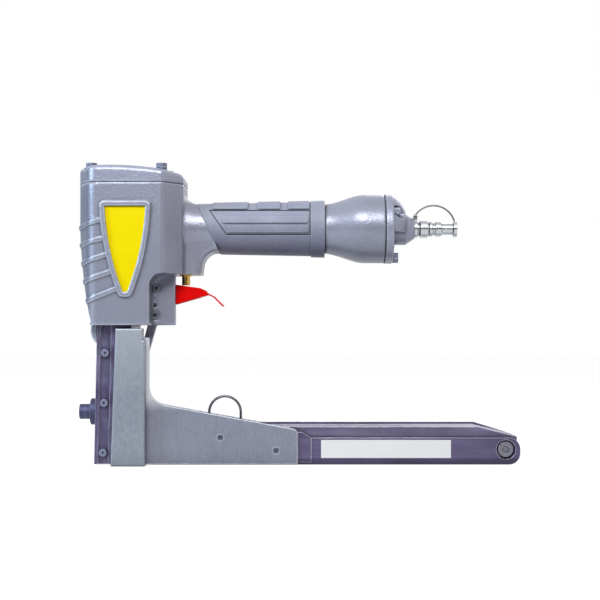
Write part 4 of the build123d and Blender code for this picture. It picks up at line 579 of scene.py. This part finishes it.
straight = add_node("GeometryNodeCurvePrimitiveLine")
divided = add_node("GeometryNodeResampleCurve")
way = add_node("GeometryNodeSplineParameter")
share, rise = asked.outputs["End_Share"], asked.outputs["End_Rise"]
last_share = coil_math("SUBTRACT", 1.0, share)
open_rise = coil_math("SUBTRACT", asked.outputs["Length"], coil_math("MULTIPLY", rise, 2.0))
climb = coil_math("ADD", coil_rise(0.0, share, rise), coil_rise(share, last_share, open_rise))
climb = coil_math("ADD", climb, coil_rise(last_share, 1.0, rise))
angle = coil_math("MULTIPLY", way.outputs["Factor"], coil_math("MULTIPLY", asked.outputs["Turns"], math.tau))
spot = add_node("ShaderNodeCombineXYZ")
bend = add_node("GeometryNodeSetPosition")
section = set_in(add_node("GeometryNodeCurvePrimitiveCircle"), Resolution=10)
tube = set_in(add_node("GeometryNodeCurveToMesh"), Fill_Caps=True)
smooth = add_node("GeometryNodeSetShadeSmooth")
real, coat = add_node("GeometryNodeRealizeInstances"), add_node("GeometryNodeSetMaterial")
for value, socket in (
    (coil_math("MULTIPLY", coil_math("COSINE", angle, 0.0), asked.outputs["Radius"]), "X"),
    (coil_math("MULTIPLY", coil_math("SINE", angle, 0.0), asked.outputs["Radius"]), "Y"),
    (climb, "Z"),
):
    coil_tree.links.new(value, spot.inputs[socket])
wire_nodes(coil_tree, [
    (asked, "Steps", divided, "Count"), (straight, "Curve", divided, "Curve"),
    (divided, "Curve", bend, "Geometry"), (spot, 0, bend, "Position"),
    (asked, "Wire", section, "Radius"), (section, "Curve", tube, "Profile Curve"),
    (bend, "Geometry", tube, "Curve"), (tube, "Mesh", smooth, "Geometry"),
    (smooth, "Geometry", real, 0), (real, 0, coat, "Geometry"), (asked, "Finish", coat, "Material"),
    (coat, "Geometry", made, 0),
])

oiled_wire = Finish("oiled_wire")
wire_cloud = oiled_wire.noise(500.0, 3.0)
spring_wire = oiled_wire.surface(
    oiled_wire.mix(wire_cloud, (0.1, 0.1, 0.11), (0.26, 0.26, 0.29)),
    oiled_wire.span(wire_cloud, 0.3, 0.7, 0.28, 0.45),
    metallic=0.9, height=wire_cloud, depth=0.00002, soften=0.0002,
)


closed_pitch = 1.04
steps_per_turn = 28


def wound_spring(name, node, body, wire, turns, end_turns, along=2):
    """Spring in the place of its solid, carried by a body."""
    low, high = (Vector(corner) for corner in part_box(node))
    across = (along + 1) % 3
    all_turns = turns + 2 * end_turns
    piece = grow(
        name, coil_tree, coil_inputs, [],
        Radius=(high[across] - low[across] - wire) / 2, Wire=wire / 2, Length=high[along] - low[along] - wire,
        Turns=all_turns, End_Share=end_turns / all_turns, End_Rise=end_turns * wire * closed_pitch,
        Steps=int(all_turns * steps_per_turn) + 1, Finish=spring_wire,
    )
    place = (low + high) / 2
    place[along] = low[along] + wire / 2
    turn = Matrix.Rotation(math.radians(90), 4, "Y") if along == 0 else Matrix()
    piece.data.transform(Matrix.Translation(place) @ turn)
    fixed_end, axis = place.copy(), Vector((0.0, 0.0, 0.0))
    fixed_end[along], axis[along] = high[along], 1.0
    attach(piece, body)
    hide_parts(node)
    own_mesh(piece)


wound_spring(
    "head_spring", "head_valve_spring", "frame",
    wire=0.0015, turns=3, end_turns=0.2,
)
wound_spring(
    "stem_spring", "valve_spring", "frame",
    wire=0.0007, turns=4, end_turns=1.0,
)
wound_spring(
    "return_spring", "yoke_spring", "driver",
    wire=0.001, turns=10, end_turns=1.0,
)
wound_spring(
    "feeder_spring", "feed_spring", "frame",
    wire=0.0013, turns=26, end_turns=1.0, along=0,
)

# Grip: grey-blue rubber moulded on the handle core, with raised bars, pads and a finger panel.
# Its skin is finely pebbled, and it is painted paler on the upper side and darker below, as painted light
# from above.
grip_rubber = Finish("grip_rubber")
grip_cloud = grip_rubber.span(grip_rubber.noise(40.0, 4.0), 0.35, 0.7, 0.0, 1.0)
grip_speck = grip_rubber.span(grip_rubber.noise(1700.0, 2.0), 0.4, 0.65, 0.0, 0.25)
grip_top_light = grip_rubber.span(grip_rubber.axes()[2], 0.176, 0.212, 0.0, 0.75)
grip_cloud_and_top_light = grip_rubber.math("ADD", grip_top_light, grip_rubber.math("MULTIPLY", grip_cloud, 0.25))
grip_body = grip_rubber.mix(grip_cloud_and_top_light, (0.15, 0.142, 0.235), (0.33, 0.34, 0.43))
grip_tone = grip_rubber.mix(grip_speck, grip_body, (0.5, 0.54, 0.65))
# Painted highlight with rubbing on the edges, and painted shade in the grooves.
grip_tone = grip_rubber.stain(grip_tone, grip_rubber.edge_wear_and_highlight(0.0012), 0.5, (0.48, 0.52, 0.62))
grip_tone = grip_rubber.stain(grip_tone, grip_rubber.corner_shade(0.003), 0.8, (0.03, 0.03, 0.05))
grip_pebbles = grip_rubber.math("ADD", grip_rubber.noise(1300.0, 2.0), grip_rubber.cells(900.0))
dress(
    grip_rubber.surface(
        grip_tone, grip_rubber.span(grip_cloud, 0.0, 1.0, 0.56, 0.44),
        height=grip_pebbles, depth=0.00012, soften=0.0007,
    ),
    "rubber_grip",
)

# Air plug, its collar and dust cap: turned steel, bright zinc plated, with fine tool marks round it.
# The collar and the spring bow of the dust cap are clamped between plug and end cap.
plated_steel = Finish("plated_steel")
plate_cloud = plated_steel.noise(260.0, 2.0, (14.0, 1.0, 1.0))
plate_tone = plated_steel.mix(plate_cloud, (0.36, 0.38, 0.41), (0.6, 0.62, 0.65))
# Painted shade in the corners of plug, collar and dust cap.
plate_tone = plated_steel.stain(plate_tone, plated_steel.corner_shade(0.003), 0.65, (0.05, 0.055, 0.06))
dress(
    plated_steel.surface(
        plate_tone, plated_steel.span(plate_cloud, 0.3, 0.7, 0.2, 0.34),
        metallic=1.0, height=plate_cloud, depth=0.00003, soften=0.0004,
    ),
    "air_plug", "plug_collar", "dust_cap",
)
dress(spring_wire, "dust_cap_wire")

# Trigger: pressed steel, folded to a channel and painted red, rubbed a little along its edges, where a
# highlight is painted too.
# It turns on the upper cross pin of the bracket, and the lower pin holds the rear stay.
trigger_red = Finish("trigger_red")
trigger_red.shader.inputs["Specular IOR Level"].default_value = 0.1
red_cloud = trigger_red.span(trigger_red.noise(50.0, 3.0), 0.35, 0.7, 0.0, 1.0)
red_tone = trigger_red.mix(red_cloud, (0.92, 0.0, 0.0), (1.0, 0.003, 0.002))
red_tone = trigger_red.stain(red_tone, trigger_red.edge_wear_and_highlight(0.0006), 0.25, (1.0, 0.15, 0.1))
dress(
    trigger_red.surface(
        red_tone, trigger_red.span(red_cloud, 0.0, 1.0, 0.42, 0.32),
        height=trigger_red.noise(900.0), depth=0.00004, soften=0.0005,
    ),
    "trigger",
)
pin_steel = screw_steel("pin_steel", (0.16, 0.165, 0.21), (0.27, 0.28, 0.34), (0.7, 0.72, 0.78))
dress(pin_steel, "trigger_pin", "stay_pin")

# Trigger valve: a turned brass body pressed into the boss under the neck, and the stem in it that
# the trigger lifts. The tool marks run round both.
turned_brass = Finish("turned_brass")
brass_cloud = turned_brass.noise(260.0, 2.0, (1.0, 1.0, 12.0))
dress(
    turned_brass.surface(
        turned_brass.mix(brass_cloud, (0.42, 0.24, 0.05), (0.75, 0.5, 0.16)),
        turned_brass.span(brass_cloud, 0.3, 0.7, 0.2, 0.36),
        metallic=1.0, height=brass_cloud, depth=0.00003, soften=0.0003,
    ),
    "trigger_valve_body", "valve_stem",
)


# Nose, magazine and what runs in them: steel, ground and blued, bright where it rubs, with a painted
# highlight along the edges.
# The grinding lines run up the nose and along the magazine.
def blued_steel(name, grain, dark, light, edge_wear_and_highlight_share=0.75, least_edge_wear_and_highlight=0.25, dark_foot_z=0.0):
    """Blued steel with grinding lines, painted shade in corners, edges rubbed bright with a painted
    highlight, and darker below the given foot height.
    """
    steel = Finish(name)
    lines = steel.noise(170.0, 4.0, grain)
    cloud = steel.span(steel.noise(22.0, 3.0), 0.3, 0.7, 0.0, 1.0)
    tone = steel.mix(cloud, dark, light)
    tone = steel.stain(tone, steel.span(lines, 0.45, 0.75, 0.0, 1.0), 0.35, shaded(light, 2.2))
    # Painted shade in the corners.
    tone = steel.stain(tone, steel.corner_shade(0.005), 0.7, shaded(dark, 0.25))
    patchy = steel.span(steel.noise(120.0), 0.3, 0.6, least_edge_wear_and_highlight, 1.0)
    edge_wear_and_glint = steel.math("MULTIPLY", steel.edge_wear_and_highlight(0.0011), patchy)
    tone = steel.stain(tone, edge_wear_and_glint, edge_wear_and_highlight_share, (0.66, 0.67, 0.78))
    # Darker towards the bottom, below the foot height.
    if dark_foot_z > 0.0:
        foot_darkening = steel.span(steel.axes()[2], dark_foot_z - 0.002, dark_foot_z, 0.6, 0.0)
        tone = steel.mix(foot_darkening, tone, shaded(dark, 0.4))
    rough = steel.span(lines, 0.3, 0.7, 0.3, 0.5)
    return steel.surface(tone, rough, metallic=0.6, height=lines, depth=0.00004, soften=0.0005)


nose_steel = blued_steel("nose_steel", (1.0, 6.0, 0.4), (0.075, 0.06, 0.13), (0.14, 0.125, 0.22))
claw_steel = blued_steel("claw_steel", (1.0, 1.0, 1.0), (0.08, 0.075, 0.12), (0.15, 0.14, 0.2))
# The rear stay has a lighter copy of the blued steel, as painted light on a part that lies in shade.
lit_stay_steel = blued_steel(
    "lit_stay_steel", (1.0, 1.0, 0.5), (0.26, 0.24, 0.34), (0.4, 0.375, 0.48), edge_wear_and_highlight_share=0.6
)
dress(nose_steel, "nose_frame", "front_plate", "clincher_yoke")
dress(claw_steel, "left_clincher", "right_clincher")
dress(lit_stay_steel, "rear_stay")

# Screws in the side grooves of the nose and the long bolt in front, on its thick washer.
# They are the same socket head screws, oiled to a dim blue.
dim_steel = screw_steel("dim_steel", (0.16, 0.17, 0.27), (0.25, 0.27, 0.39), (0.38, 0.4, 0.53), sheen=0.4)
nose_low, nose_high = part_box("nose_screws")
nose_head_radius, nose_head_height = 0.0033, 0.0034
groove_y = nose_high[1] - nose_head_height
lowest_x, highest_x = nose_low[0] + nose_head_radius, nose_high[0] - nose_head_radius
middle_x = lowest_x + (highest_x - lowest_x) * 0.498
nose_rows = ((lowest_x, 0.0107), (middle_x, 0.0517), (highest_x, 0.093))
socket_screws(
    "nose_side_screws", dim_steel, "nose_screws",
    seats=[(x, side * groove_y, z) for x, z in nose_rows for side in (-1, 1)],
    aims=[(0, side, 0) for _ in nose_rows for side in (-1, 1)],
    head=(nose_head_radius, nose_head_height), shank=(0.002, 0.0078), socket=0.34,
)
bolt_steel = screw_steel(
    "bolt_steel", (0.06, 0.062, 0.12), (0.09, 0.095, 0.17), (0.3, 0.32, 0.44), sheen=0.44
)
dress(bolt_steel, "front_washer")
bolt_low, bolt_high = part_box("front_bolt")
bolt_head_height = 0.0097
bolt_seat_x = bolt_low[0] + bolt_head_height
bolt_z = 0.0427
socket_screws(
    "nose_front_bolt", bolt_steel, "front_bolt",
    seats=[(bolt_seat_x, 0.0, bolt_z)], aims=[(-1, 0, 0)],
    head=(0.0064, bolt_head_height), shank=(0.004, bolt_high[0] - bolt_seat_x), knurl=0.995,
)

# Rods, pins, driver blade and small screws: bright ground steel, lightly oiled.
# The screws that hold the magazine between the arms are blackened.
bright_steel = Finish("bright_steel")
bright_cloud = bright_steel.noise(380.0, 3.0)
dress(
    bright_steel.surface(
        bright_steel.mix(bright_cloud, (0.32, 0.33, 0.37), (0.55, 0.56, 0.6)),
        bright_steel.span(bright_cloud, 0.3, 0.7, 0.22, 0.4),
        metallic=1.0, height=bright_cloud, depth=0.00003, soften=0.0003,
    ),
    "front_plate_screws", "clincher_pivots", "left_follower_pin", "right_follower_pin", "stay_bolt",
    "driver_blade", "driver_pin", "guide_rod",
)
dress(black_oxide, "arm_screws")


# Cheeks and arms: cast covers and plates of bare light metal, ground upright to a satin face.
# The cheeks shroud the clinchers. The arms carry the magazine, and are painted brighter at their upper ends
# as a painted highlight; the cheeks are painted lighter towards the top.
def satin_metal(name, dark, light, edge, light_foot_z, light_top_z, top_light_share):
    """Ground light metal with soft clouds, painted shade in corners, edges rubbed bright with a painted
    highlight, and painted light towards the top.
    """
    metal = Finish(name)
    strokes = metal.noise(1500.0, 3.0, (1.0, 1.0, 0.12))
    broad, fine = metal.noise(40.0, 3.0, (1.0, 1.0, 0.7)), metal.noise(420.0, 2.0, (1.0, 1.0, 0.5))
    patches = metal.math("ADD", broad, fine)
    tone = metal.mix(metal.span(patches, 0.6, 1.4, 0.0, 1.0), dark, light)
    tone = metal.mix(metal.span(strokes, 0.4, 0.7, 0.0, 0.08), tone, shaded(light, 1.9))
    # Painted shade in corners; the wider reach darkens the arms beside the cheeks.
    for reach, share in ((0.005, 0.6), (0.016, 0.4)):
        tone = metal.stain(tone, metal.corner_shade(reach), share, shaded(dark, 0.3))
    patchy = metal.span(metal.noise(140.0), 0.3, 0.6, 0.5, 0.9)
    bright = metal.math("MULTIPLY", metal.edge_wear_and_highlight(edge), patchy)
    # Painted light, lighter towards the top, joined with the painted highlight on the edges.
    top_light = metal.span(metal.axes()[2], light_foot_z, light_top_z, 0.0, top_light_share)
    tone = metal.mix(metal.math("MAXIMUM", bright, top_light), tone, (0.86, 0.89, 0.93))
    rough = metal.span(strokes, 0.3, 0.7, 0.36, 0.5)
    return metal.surface(tone, rough, metallic=0.4, height=strokes, depth=0.00003, soften=0.0009)


cheek_metal = satin_metal(
    "cheek_metal", (0.235, 0.255, 0.31), (0.345, 0.37, 0.43),
    edge=0.0016, light_foot_z=0.06, light_top_z=0.12, top_light_share=0.2,
)
arm_metal = satin_metal(
    "arm_metal", (0.23, 0.24, 0.31), (0.3, 0.31, 0.385),
    edge=0.0017, light_foot_z=0.045, light_top_z=0.057, top_light_share=0.75,
)
dress(cheek_metal, "left_cheek", "right_cheek")
dress(arm_metal, "left_arm", "right_arm")

# Magazine: a folded steel channel with a low near wall, blued and ground along its length.
# The rail that the staples straddle, the pusher and the rear block are of the same steel.
length_grain = (0.06, 1.0, 1.0)
# Its edges get the most painted highlight, and it is darker along its foot.
magazine_steel = blued_steel(
    "magazine_steel", length_grain, (0.076, 0.064, 0.135), (0.13, 0.112, 0.205),
    edge_wear_and_highlight_share=1.0, least_edge_wear_and_highlight=0.6, dark_foot_z=0.0062,
)
rail_steel = blued_steel(
    "rail_steel", length_grain, (0.105, 0.092, 0.165), (0.185, 0.168, 0.26), edge_wear_and_highlight_share=1.0
)
dress(magazine_steel, "magazine_channel")
dress(rail_steel, "staple_rail", "pusher", "rear_block")
dress(spring_wire, "pusher_bail")

# Rear bolt: a socket head screw through the rail and its block, of oiled steel.
# Its flat head lies in a round window of the near wall.
rear_steel = screw_steel("rear_steel", (0.16, 0.16, 0.2), (0.28, 0.28, 0.33), (0.6, 0.6, 0.66))
rear_low, rear_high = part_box("rear_bolt")
rear_head_height = 0.0032
rear_seat_y = rear_low[1] + rear_head_height
socket_screws(
    "magazine_bolt", rear_steel, "rear_bolt",
    seats=[((rear_low[0] + rear_high[0]) / 2, rear_seat_y, (rear_low[2] + rear_high[2]) / 2)],
    aims=[(0, -1, 0)],
    head=(0.0064, rear_head_height), shank=(0.003, rear_high[1] - rear_seat_y),
)

# Label: blank white plastic film, stuck to the near wall of the magazine.
# It is slightly clouded by handling.
label_film = Finish("label_film")
film_cloud = label_film.span(label_film.noise(90.0, 4.0), 0.35, 0.7, 0.0, 1.0)
dress(
    label_film.surface(
        label_film.mix(film_cloud, (0.95, 0.945, 0.935), (0.98, 0.975, 0.965)),
        label_film.span(film_cloud, 0.0, 1.0, 0.5, 0.38),
        height=label_film.noise(700.0), depth=0.00001, soften=0.0001,
    ),
    "blank_label",
)
